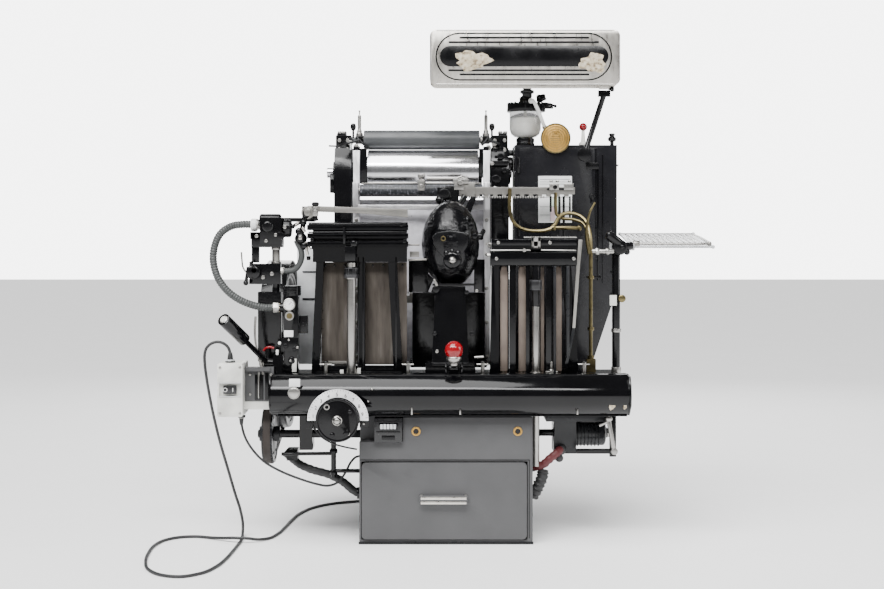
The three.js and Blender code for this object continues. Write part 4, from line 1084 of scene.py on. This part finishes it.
def dial_details():
    span = (math.radians(-2), math.radians(182))
    fixed("dial_scale", WHITE_FACE, arc_plate(DIAL, 73, 100, span, (-82.9, -81.5)), bevel=0)
    ticks = []
    for i in range(33):
        angle = math.radians(176 - 5.375 * i)
        length = 7 if i % 4 == 0 else 4
        a, b = [(DIAL[0] + r * math.cos(angle), -83, DIAL[1] + r * math.sin(angle))
                for r in (98, 98 - length)]
        ticks.append(bar(a, b, 0.6, 6))
    fixed("dial_ticks", BLACK_SATIN, *ticks, bevel=0)
    dial_numbers()
    rim = [washer("y", 70.5, 64, (-107, -104), DIAL, 56)]
    screws = [lathe("y", [(7, -104), (7, -109), (5, -110.5)], spot, 20)
              for spot in on_circle(DIAL, 50, map(math.radians, (35, 250, 300)))]
    piece("dial_rim", "speed_dial", BLACK_GLOSS, *rim, *screws, bevel=0.8)
    rings = [washer("y", 9.5, 6, (-108, -104), on_circle(DIAL, r, [math.radians(a)])[0], 24)
             for r, a in ((56, 128), (52, -52))]
    hub = [lathe("y", [(17, -104), (17, -112), (14, -116), (9, -118), (9, -123), (6, -124.5)], DIAL, 28)]
    piece("dial_hub", "speed_dial", STEEL, *rings, *hub, bevel=0.5)
    bracket = [box((-284, -256), (-66, -56), (400, 452)), bolt("y", 8, -66, -6, (-270, 440), 20),
               bolt("y", 6, -66, -5, (-270, 414))]
    pointer = [outline("y", [(-459, 440), (-448, 434), (-440, 420), (-446, 402), (-460, 400)], (-80, -74))]
    fixed("dial_bracket", BLACK, *bracket, *pointer, bevel=1.5)
    fixed("dial_bracket_screws", STEEL, bolt("y", 4.5, -72, -3, (-270, 440), 20),
          bolt("y", 4, -71, -2.5, (-270, 414)))


def beam_details():
    end = outline("x", [(-58, 470), (-62, 501), (-56, 536), (-36, 566), (34, 569), (34, 434), (-14, 434)],
                  (604, 611))
    left = outline("x", [(-52, 470), (-56, 501), (-50, 536), (-34, 562), (32, 565), (32, 438), (-12, 438)],
                   (-585, -578.5))
    fixed("beam_ends", BLACK, end, left, bevel=2)
    studs = [box((-115.5, -110.5), (-44, -30), (440, 468)), box((44.5, 49.5), (-42, -30), (440, 456)),
             box((431.5, 436.5), (-42, -30), (440, 458))]
    fixed("beam_studs", STEEL, *studs, bevel=0.6)
    worn = [blob((546, 470), (10, 13), (-50.5, -44), 1.3, 24),
            blob((590, 470), (5, 12), (-50.5, -44), 2.2, 20)]
    fixed("beam_wear", CREAM, *worn, bevel=0.3)
    fixed("beam_tag", WHITE_FACE, box((-516, -480), (-60, -56.5), (534, 560)), bevel=0.5)
    disc = [lathe("y", [(18, -58), (18, -63), (15, -65)], (-500, 514), 28),
            washer("y", 20, 17.5, (-64, -58), (-500, 514), 28)]
    fixed("beam_gauge", STEEL, *disc, bevel=0.5)
    lip = [box((-575, 604), (-14, 30), (566.5, 571)), box((-560, 602), (-16, -10), (431, 435))]
    fixed("beam_lips", BLACK_GLOSS, *lip, bevel=1.2)
    pins = [ball(4.5, (-244, -58, 527)), ball(3.4, (-256, -58, 486))]
    fixed("beam_pins", STEEL, *pins, bevel=0)
    neck = lathe("z", [(13, 602), (13, 612), (9, 620), (8, 630)], (26, -36))
    piece("lever_collar", "impression_lever", STEEL, neck, bevel=0.8)
    piece("lever_ball", "impression_lever", RED, ball(30.6, (26, -41, 653), 36), bevel=0)
    cup = lathe("z", [(15, 612), (23, 618), (26, 626), (24, 632), (19, 634)], (26, -40), 30)
    piece("lever_ball_cup", "impression_lever", STEEL, cup, bevel=0.6)
    cheeks = [lathe("x", [(20, -4), (22, -1), (22, 2)], (0, 588), 28),
              lathe("x", [(22, 50), (22, 53), (20, 56)], (0, 588), 28)]
    fixed("lever_cheeks", BLACK, *cheeks, bevel=0.8)


def base_details():
    rings = [washer("y", 15.5, 9, (9, 13), (x, 378), 32) for x in (-100, 240)]
    fixed("base_eyelets", BRASS_DISC, *rings, bevel=1)
    # painted shade: black discs fill the eyelets' holes to stand in for the dark inside them
    hole_shade_discs = [lathe("y", [(9.2, 10.5), (9.2, 12.6)], (x, 378), 28) for x in (-100, 240)]
    fixed("base_hole_shade", BLACK, *hole_shade_discs, bevel=0)
    grip = [box((-84, 68), (-19.5, -14), (154.5, 164.5)), box((-84, 68), (-19.5, -14), (139.5, 149.5))]
    piece("drawer_grip_bars", "drawer", NICKEL, *grip, bevel=1.6)
    feet = [box((-86, -78), (-8, 6), (136, 168)), box((62, 70), (-8, 6), (136, 168))]
    piece("drawer_grip_feet", "drawer", STEEL, *feet, bevel=1)
    seam = [box((-286, 278), (10.6, 12.2), (281, 283)), box((278, 280), (10.6, 12.2), (20, 283))]
    fixed("base_seam", BLACK_SATIN, *seam, bevel=0)
    window = [box((-222, -160), (-8.5, -5.5), (384, 408))]
    fixed("counter_window", BLACK_GLOSS, *window, bevel=0.8)
    wheels = [box((x, x + 8.6), (-9.6, -8), (388, 404)) for x in range(-219, -174, 11)]
    fixed("counter_wheels", PALE_GREY, *wheels, bevel=0.5)
    frame_parts = [box((-232, -152), (-9.5, -5), (376, 380)), box((-232, -152), (-9.5, -5), (410, 414)),
                   box((-214, -170), (-8, -5), (352, 366))]
    fixed("counter_frame", BLACK_SATIN, *frame_parts, bevel=1)
    fixed("base_skirt", DARK_GREY, box((-292, 292), (9, 14), (0.5, 9)), bevel=1.5)


# ---- drive and underside
def drive_details():
    fins = [washer("x", 46.5, 42, (x, x + 3), MOTOR, 40) for x in (450, 462, 474, 486, 498, 510, 522)]
    fixed("motor_fins", DARK_GREY, *fins, bevel=0.8)
    bell = lathe("x", [(43, 540), (40, 545), (30, 549), (18, 551), (17, 556)], MOTOR, 36)
    box_top = box((462, 522), (112, 150), (394, 412))
    fixed("motor_bell", BLACK_SATIN, bell, box_top, bevel=2)
    fixed("motor_shaft", STEEL, rod("x", 9, (354, 372), MOTOR), bolt("x", 17, 552, 10, MOTOR))
    fixed("motor_bolts", STEEL, *bolts("x", 5, 441, 6, on_circle(MOTOR, 36, (0.8, 2.4, 3.9, 5.5))))
    arm = [bar((546, 46, 424), (566, 46, 300), 8), ball(13, (548, 46, 416)),
           bar((548, 46, 408), (516, 50, 392), 6), bolt("y", 12, 44, -8, (566, 306), 20)]
    fixed("motor_arm", STEEL, *arm)
    fixed("maroon_hose", MAROON, pipe([(296, 96, 246), (312, 80, 250), (330, 70, 258), (352, 66, 278),
                                       (374, 68, 296), (388, 84, 306)], 5,
                                      lambda s: 14 + 1.2 * math.cos(s * 0.9), 16), bevel=0)
    sleeves = [bolt("x", 17, 291, 14, (96, 246), 20), ball(18, (392, 92, 304)), ball(14, (384, 76, 278))]
    fixed("black_bellows", RUBBER, pipe([(296, 88, 150), (306, 80, 168), (316, 76, 190), (326, 76, 214),
                                         (330, 84, 236)], 5, lambda s: 19 + 2.6 * math.cos(s * 0.8), 18),
          *sleeves, bevel=0)
    spokes = [rod("x", 5, (-592.5, -586), spot) for spot in on_circle(PULLEY, 70, turns(6))]
    rims = [washer("x", 97, 88, span, PULLEY, 56) for span in ((-624, -619), (-592, -587))]
    teeth_ring = [turned_about(box((-621, -590), (245, 248.5), (345, 355)), along("x", *PULLEY, 0),
                               math.tau * i / 40, "X") for i in range(40)]
    piece("pulley_trim", "variator", DARK_GREY, *rims, *teeth_ring, *spokes, bevel=0.8)
    piece("pulley_boss", "variator", STEEL, bolt("x", 20, -622, -10, PULLEY, 24),
          bolt("x", 10, -632, -8, PULLEY))
    block = [box((-545, -508), (120, 180), (262, 300)), bar((-560, 100, 288), (-380, 100, 290), 6),
             bar((-376, 92, 232), (-294, 92, 232), 7), rod("z", 9, (210, 424), (-382, 92)),
             bolt("z", 14, 292, 16, (-382, 92)), bolt("z", 14, 220, 16, (-382, 92)),
             box((-470, -420), (124, 176), (370, 424))]
    fixed("variator_linkage", BLACK_SATIN, *block, bevel=1.2)
    fixed("thick_hose", RUBBER, pipe([(-556, 156, 286), (-536, 154, 270), (-518, 150, 256),
                                      (-500, 146, 244), (-460, 140, 228), (-400, 134, 212),
                                      (-350, 130, 186), (-318, 128, 160), (-291, 128, 146)], 6,
                                     lambda s: 14 + 0.8 * math.cos(s * 0.7), 16), bevel=0)
    fixed("thick_hose_collar", BLACK_SATIN, bolt("x", 20, -304, 14, (128, 150), 20))
    fixed("small_wire", RUBBER, pipe([(-300, 60, 310), (-340, 58, 318), (-380, 56, 330), (-420, 60, 352),
                                      (-450, 70, 390), (-452, 76, 424)], 5, 3), bevel=0)


def flywheel_details():
    hub = lathe("x", [(62, -624), (62, -640), (52, -648), (40, -652)], FLYWHEEL, 40)
    rim = [washer("x", 288, 268, span, FLYWHEEL, 72) for span in ((-627, -622), (-572, -568))]
    piece("flywheel_trim", "flywheel", DARK_GREY, *rim, bevel=1.5)
    piece("flywheel_hub", "flywheel", DARK_GREY, hub, bevel=2)
    piece("flywheel_bolts", "flywheel", STEEL, *bolts("x", 9, -650, -10, on_circle(FLYWHEEL, 46, turns(6))))


# ---- suction feeder
def suction_details():
    drum = [lathe("x", [(24, -634), (28, -630), (28, -566), (24, -562)], (104, 1078), 28),
            lathe("x", [(26, -556), (30, -552), (30, -530), (24, -526)], (104, 1056), 28),
            box((-664, -556), (78, 92), (1020, 1044)), lathe("y", [(19, 70), (19, 60), (14, 56)],
        (-602, 1062), 24), lathe("y", [(14, 72), (14, 64)], (-560, 1030), 20),
            box((-660, -636), (86, 112), (940, 1000))]
    fixed("suction_drum", BLACK_SATIN, *drum, bevel=1.5)
    bright = bolts("y", 7, 70, -6, ((-640, 1030), (-575, 1034), (-608, 1014), (-545, 1060)))
    bright += [box((-640, -624), (80, 88), (1052, 1064)), washer("z", 17, 13.2, (936, 944), SUCTION_POST),
               bolt("y", 8, 84, -7, (-590, 902)), bolt("y", 7, 84, -7, (-620, 890), 20),
               washer("z", 16, 13.2, (984, 992), SUCTION_POST)]
    fixed("suction_screws", STEEL, *bright)
    fixed("suction_post_sleeve", STEEL_BAR, rod("z", 13.7, (945, 991), SUCTION_POST, 24), bevel=0.4)
    fixed("suction_white_collar", WHITE, lathe("x", [(20, -664), (22, -660), (22, -646), (18, -642)],
        (105, 1068), 24))
    knob = [lathe("y", [(20, 72), (24, 68), (24, 58), (16, 54)], (-652, 908), 24),
            bar((-668, 66, 926), (-676, 62, 872), 6), bar((-646, 60, 920), (-660, 58, 944), 6),
            ball(9, (-676, 62, 872))]
    fixed("suction_clamp_knob", BLACK_SATIN, *knob, bevel=1)
    fixed("suction_thin_lever", STEEL, pipe([(-692, 70, 976), (-690, 68, 950), (-686, 66, 924),
        (-676, 66, 908)], 4, 3), bolt("y", 11, 62, -8, (-648, 914), 6), bevel=0)
    fixed("suction_tag", WHITE_FACE, box((-636, -609), (92, 95), (866, 878)), bevel=0.5)
    fixed("curved_pipe", HOSE, pipe([(-566, 104, 912), (-540, 104, 911), (-516, 104, 916),
                                     (-500, 104, 934), (-492, 104, 958), (-494, 104, 982),
                                     (-504, 104, 1002), (-510, 104, 1016)], 4, 10, 18), bevel=0)
    fixed("curved_pipe_nut", STEEL, bolt("x", 14, -566, 16, (104, 912)), bevel=0.8)
    knuckles = [ball(21, (-494, 100, 1022)), ball(15, (-482, 98, 998)), ball(13, (-500, 98, 1046)),
                bar((-494, 96, 1020), (-486, 96, 1070), 9), ball(11, (-484, 94, 1076)),
                bar((-486, 96, 1072), (-472, 98, 1106), 8), lathe("x",
        [(12, -486), (15, -482), (15, -470), (10, -466)], (98, 1104), 24),
                bar((-520, 96, 1064), (-494, 94, 1078), 6), ball(8, (-522, 96, 1063)),
                bolt("z", 7, 962, -14, (-468, 104), 20)]
    fixed("sucker_knuckles", BLACK_SATIN, *knuckles, bevel=0.8)
    silver = [bar((-478, 92, 1010), (-470, 92, 966), 5), bar((-470, 90, 1006), (-462, 92, 984), 4),
              bolt("y", 8, 84, -6, (-494, 1024)), bar((-488, 86, 1060), (-478, 86, 1044), 5),
              bar((-512, 92, 1068), (-500, 90, 1078), 4)]
    fixed("sucker_links", NICKEL, *silver)
    tee = [lathe("z", [(4, 1126), (4, 1132), (12, 1134), (13, 1142), (8, 1146)], (-444, 96))]
    piece("sucker_tee_knob", "sucker_bar", BLACK_SATIN, *tee)
    piece("sucker_clamp", "sucker_bar", STEEL, box((-453, -435), (88, 104), (1098, 1130)),
          bolt("y", 6, 88, -5, (-444, 1114), 20), bevel=1.2)
    piece("sucker_clamp_tail", "sucker_bar", BLACK_SATIN, bar((-444, 96, 1098), (-440, 96, 1082), 7),
          bevel=0.8)
    cap = [washer("z", 31, 24, (z, z + 3), (-522, 85), 36) for z in (834, 842, 850, 858)]
    fixed("valve_cap_ribs", BLACK_SATIN, *cap, bevel=1)
    dial = lathe("y", [(21, 60), (21, 39.6), (18.5, 38)], GAUGE, 32)
    face = lathe("y", [(17, 38.4), (17, 37.2)], GAUGE, 32)
    fixed("gauge_rim", STEEL, dial, washer("y", 15, 10, (36.5, 50), SECOND_GAUGE, 28), bevel=0.6)
    fixed("gauge_face", WHITE_FACE, face, bevel=0)
    marks = [bar(along("y", *outer, 36.9), along("y", *inner, 36.9), 0.5, 6) for outer,
             inner in zip(*[on_circle(GAUGE, radius, map(math.radians, range(-40, 221, 26)))
                            for radius in (15, 11)])]
    fixed("gauge_marks", BLACK_SATIN, *marks, bar((-528, 36.8, 800), (-519, 36.8, 808), 0.7, 6), bevel=0)
    fixed("second_gauge_face", BRASS, lathe("y", [(10.5, 42), (10.5, 39.4)], SECOND_GAUGE, 24), bevel=0)
    fitting = [bolt("x", 17, -584, 30, HOSE_FOOT), bolt("x", 13, -556, 12, HOSE_FOOT, 20)]
    fixed("hose_fitting", BEIGE, *fitting, bevel=1)
    fixed("valve_tag", WHITE_FACE, box((-546, -515), (54, 57), (690, 712)), bevel=0.5)
    body = [box((-556, -500), (56, 64), (640, 686)), bolt("y", 8, 56, -8, (-540, 660), 20),
            bolt("y", 8, 56, -6, (-510, 650), 20), bolt("y", 12, 60, -10, (-520, 610), 24),
            box((-498, -470), (80, 112), (700, 760)), bolt("y", 7, 80, -8, (-484, 730), 20),
            box((-570, -548), (64, 90), (560, 600)), bar((-604, 78, 560), (-604, 78, 650), 9),
            box((-622, -590), (70, 92), (556, 596))]
    fixed("valve_fittings", BLACK_SATIN, *body, bevel=1.5)
    fixed("red_lever", RED, pipe([(-618, 76, 642), (-610, 74, 650), (-596, 72, 654), (-582, 72, 650)], 3,
                                 4.5, 12), bevel=0)
    fixed("white_lever", WHITE, bar((-570, 66, 646), (-570, 64, 606), 5), ball(6, (-562, 66, 668)),
          bevel=0.4)
    fixed("cream_block", PALE, box((-519, -504), (52, 62), (572, 616)), bevel=1)
    fixed("valve_screws", STEEL, bolt("y", 4, 52, -3, (-524, 610), 16),
          bolt("y", 4.5, 48, -3, (-500, 655), 16), bolt("y", 4, 56, -3, (-530, 680), 16))
    fixed("curved_rod", STEEL, pipe([(-640, 40, 760), (-642, 38, 720), (-640, 34, 680), (-630, 30, 630),
                                     (-618, 26, 590), (-612, 24, 566)], 5, 4), bevel=0)
    panel = box((-540, -438), (406, 414), (566, 990))
    fixed("rear_panel", PALE_GREY, panel, bevel=3)
    fixed("rear_panel_window", DARK_GREY, box((-520, -446), (403, 407), (800, 806)),
          box((-520, -446), (403, 407), (900, 904)), bevel=1)


# ---- switch box and brake
def switch_details():
    plate = [box((-674, -577), (24.5, 35.5), (476, 592)), box((-670, -588), (12, 40), (578, 590))]
    fixed("switch_bracket_cover", GREY, *plate, bevel=1.2)
    slots = [box((-640, -612), (21, 26), (482, 566)), box((-606, -594), (21, 26), (482, 572))]
    fixed("switch_bracket_slots", BLACK, *slots, bevel=1.2)
    pins = bolts("y", 4, 24, -4, ((-656, 566), (-656, 500), (-586, 566)), 16)
    pins += [rod("z", 3, (488, 576), (-626, 14), 12)]
    fixed("switch_bracket_pins", STEEL, *pins, bevel=0.4)
    seams = [box((-760, -674), (44, 46.5), (432, 605)), washer("z", 15, 8.5, (612, 617), MAINS_GLAND, 28),
             box((-755, -679), (-22.5, -20), (497, 499.4)), box((-755, -679), (-22.5, -20), (541, 543.4))]
    fixed("switch_seam", PALE_GREY, *seams, bevel=0.8)
    screws = bolts("y", 4.5, -20, -2.2, [(x, z) for x in (-750, -684) for z in (442, 594)], 20)
    fixed("switch_screws", STEEL, *screws, bevel=0.4)
    glands = [bolt("z", 17, 606, 9, MAINS_GLAND), bolt("z", 14, 430, -9, MOTOR_GLAND)]
    fixed("switch_glands", PLASTIC, *glands, bevel=0.8)
    marks = [washer("y", 7, 5.6, (-24, -22.5), (-732, 520), 24),
             box((-708, -706), (-24, -22.5), (514, 526))]
    piece("rocker_marks", "rocker", WHITE, *marks, bevel=0)
    ribs = [washer("z", 9, 6, (z, z + 2.5), MAINS_GLAND, 20) for z in (622, 628)]
    fixed("gland_ribs", PLASTIC, *ribs, bevel=0.4)


def brake_details():
    start, end = Vector((-600, 60, 600)), Vector((-717, -150, 761))
    way = (end - start).normalized()
    grip = [(start + way * 150), (start + way * 278)]
    sleeve = sweep([tuple(grip[0]), tuple(grip[0] + way * 6), tuple(grip[1] - way * 6), tuple(grip[1])],
                   lambda s: 14 if 4 < s < 130 else 11, 20)
    rings = [sweep([tuple(grip[0] + way * d), tuple(grip[0] + way * (d + 3))], 15.4, 20)
             for d in range(12, 124, 14)]
    piece("brake_grip", "brake_lever", DARK_GREY, sleeve, *rings, bevel=0.8)
    cap = sweep([tuple(grip[1] - way * 1), tuple(grip[1] + way * 13)], 14, 24)
    piece("brake_cap", "brake_lever", STEEL, cap, bevel=1.5)
    piece("brake_cap_inlay", "brake_lever", PALE, sweep([tuple(grip[1] + way * 12),
        tuple(grip[1] + way * 14)], 10.5, 24), bevel=0.5)
    pivot = [lathe("x", [(22, -622), (24, -618), (24, -612)], (60, 600), 28),
             bolt("x", 10, -622, -8, (60, 600))]
    piece("brake_pivot", "brake_lever", STEEL, *pivot, bevel=0.8)


# ---- CAD nodes
NODE_FINISH = {"base_casting": (GREY, 3), "tool_drawer": (GREY, 1.5), "main_frame": (BLACK_GLOSS, 2),
               "front_beam": (BLACK_GLOSS, 2.5), "rear_frame_left": (BLACK, 3),
               "rear_frame_right": (BLACK, 3), "type_bed": (BED, 2), "hub_pedestal": (BLACK, 3),
               "hub_housing": (HUB_BLACK, 2), "feed_frame": (BLACK_LUMPY, 3),
               "feed_guide_plate": (GUIDE, 0.8), "feed_column": (STEEL, 1),
               "delivery_frame": (BLACK_LUMPY, 2), "delivery_grid": (BRONZE_ROD, 0.8),
               "delivery_column": (STEEL, 1), "side_cabinet": (CABINET_BLACK, 2.5),
               "spray_jar": (GLASS, 1), "jar_lid": (BLACK_GLOSS, 2), "brass_plate": (BRASS_DISC, 1.5),
               "tray_post": (BLACK_SATIN, 1), "blower_tube": (BRASS, 0), "drive_belt": (LEATHER, 0.5),
               "flywheel_guard": (BLACK, 1), "drive_motor": (DARK_GREY, 1.5),
               "motor_stay": (BLACK_SATIN, 0.8), "dial_plate": (BLACK_SATIN, 0.6),
               "impression_counter": (PLASTIC, 1.5), "switch_box": (PALE, 3), "mains_plug": (WHITE, 1),
               "suction_head": (BLACK, 2), "valve_block": (BLACK, 2), "flywheel": (DARK_GREY, 3),
               "variator_pulley": (DARK_GREY, 1.5), "gripper_spider": (BLACK_SATIN, 2),
               "gripper_bar_upper": (STEEL_BAR, 1.2), "gripper_bar_lower": (STEEL_BAR, 1.2),
               "ink_drum": (DRUM, 2), "rider_roller": (ROLLER, 2), "roller_carriage": (RAIL, 2),
               "form_roller": (ROLLER_DARK, 1.5), "platen": (BLACK, 3), "feed_board": (BOARD, 1.5),
               "delivery_board": (BOARD, 1.2), "sucker_bar": (STEEL_BAR, 1), "lamp_arm": (BLACK_SATIN, 1),
               "lamp_hood": (NICKEL, 1.2), "spray_lever": (RED, 0.6),
               "impression_lever": (BLACK_GLOSS, 1.5), "brake_lever": (BLACK_GLOSS, 1.5),
               "speed_dial": (BLACK_SATIN, 1), "rocker_switch": (PLASTIC, 0.8),
               "wire_tray": (CLEAR_SHEET, 0.8), "feed_clamp_left": (STEEL, 0.8),
               "feed_clamp_right": (STEEL, 0.8), "delivery_clamp_left": (STEEL, 0.8),
               "delivery_clamp_right": (STEEL, 0.8)}


def dress_nodes():
    for node, (material, bevel) in NODE_FINISH.items():
        dress(node, material, bevel)


# ---- studio
def area_light(name, at, aim, size, power):
    data = bpy.data.lights.new(name, "AREA")
    data.shape = "RECTANGLE"
    data.size, data.size_y = size
    data.energy = power
    light = add(name, data)
    light.location = at
    light.rotation_euler = (Vector(aim) - Vector(at)).to_track_quat("-Z", "Y").to_euler()


FILL_STRENGTH, BACKDROP_STRENGTH, SUN_STRENGTH = 0.16, 6.0, 4.8
FLOOR_HALF = 30


def studio():
    world = bpy.data.worlds.new("studio")
    bpy.context.scene.world = world
    world.use_nodes = True
    nodes, links = world.node_tree.nodes, world.node_tree.links
    fill, backdrop = nodes["Background"], nodes.new("ShaderNodeBackground")
    fill.inputs["Color"].default_value = backdrop.inputs["Color"].default_value = (1, 1, 1, 1)
    fill.inputs["Strength"].default_value = FILL_STRENGTH
    backdrop.inputs["Strength"].default_value = BACKDROP_STRENGTH
    mix, path = nodes.new("ShaderNodeMixShader"), nodes.new("ShaderNodeLightPath")
    links.new(path.outputs["Is Camera Ray"], mix.inputs[0])
    links.new(fill.outputs[0], mix.inputs[1])
    links.new(backdrop.outputs[0], mix.inputs[2])
    links.new(mix.outputs[0], nodes["World Output"].inputs["Surface"])
    area_light("key", (-0.8, -3.2, 4.2), (0, 0, 1.2), (7.0, 0.8), 340)
    area_light("side", (4.2, -0.8, 2.2), (0, 0, 0.9), (1.6, 2.4), 70)
    area_light("back", (0.4, 4.2, 2.6), (0, 0, 0.9), (4.0, 1.6), 110)
    sky = bpy.data.lights.new("sky", "SUN")
    sky.energy, sky.angle, sky.specular_factor = SUN_STRENGTH, math.radians(50), 0.12
    sun = add("sky", sky)
    sun.rotation_euler = (math.radians(22), math.radians(-14), 0)
    mesh = bpy.data.meshes.new("studio_floor")
    corners = [(x * FLOOR_HALF, y * FLOOR_HALF, 0) for x, y in ((-1, -1), (1, -1), (1, 1), (-1, 1))]
    mesh.from_pydata(corners, [], [(0, 1, 2, 3)])
    floor = add("studio_floor", mesh)
    paint = Paint("floor_paper")
    paint.set("Base Color", paint.ramp(paint.noise(3, 3), (0.3, 0.96), (0.7, 0.98)))
    paint.shader.inputs["Roughness"].default_value = 0.6
    mesh.materials.append(paint.material)


for build in (dress_nodes, lamp_details, jar_details, disc_details, cabinet_details, spray_lever_details,
              ink_details, bed_details, hub_details, gripper_details, clip_details, clamp_trim,
              feed_details, delivery_details, tube_details, tray_details, dial_details, beam_details,
              base_details, drive_details, flywheel_details, suction_details, switch_details,
              brake_details, studio):
    build()
bpy.context.view_layer.update()
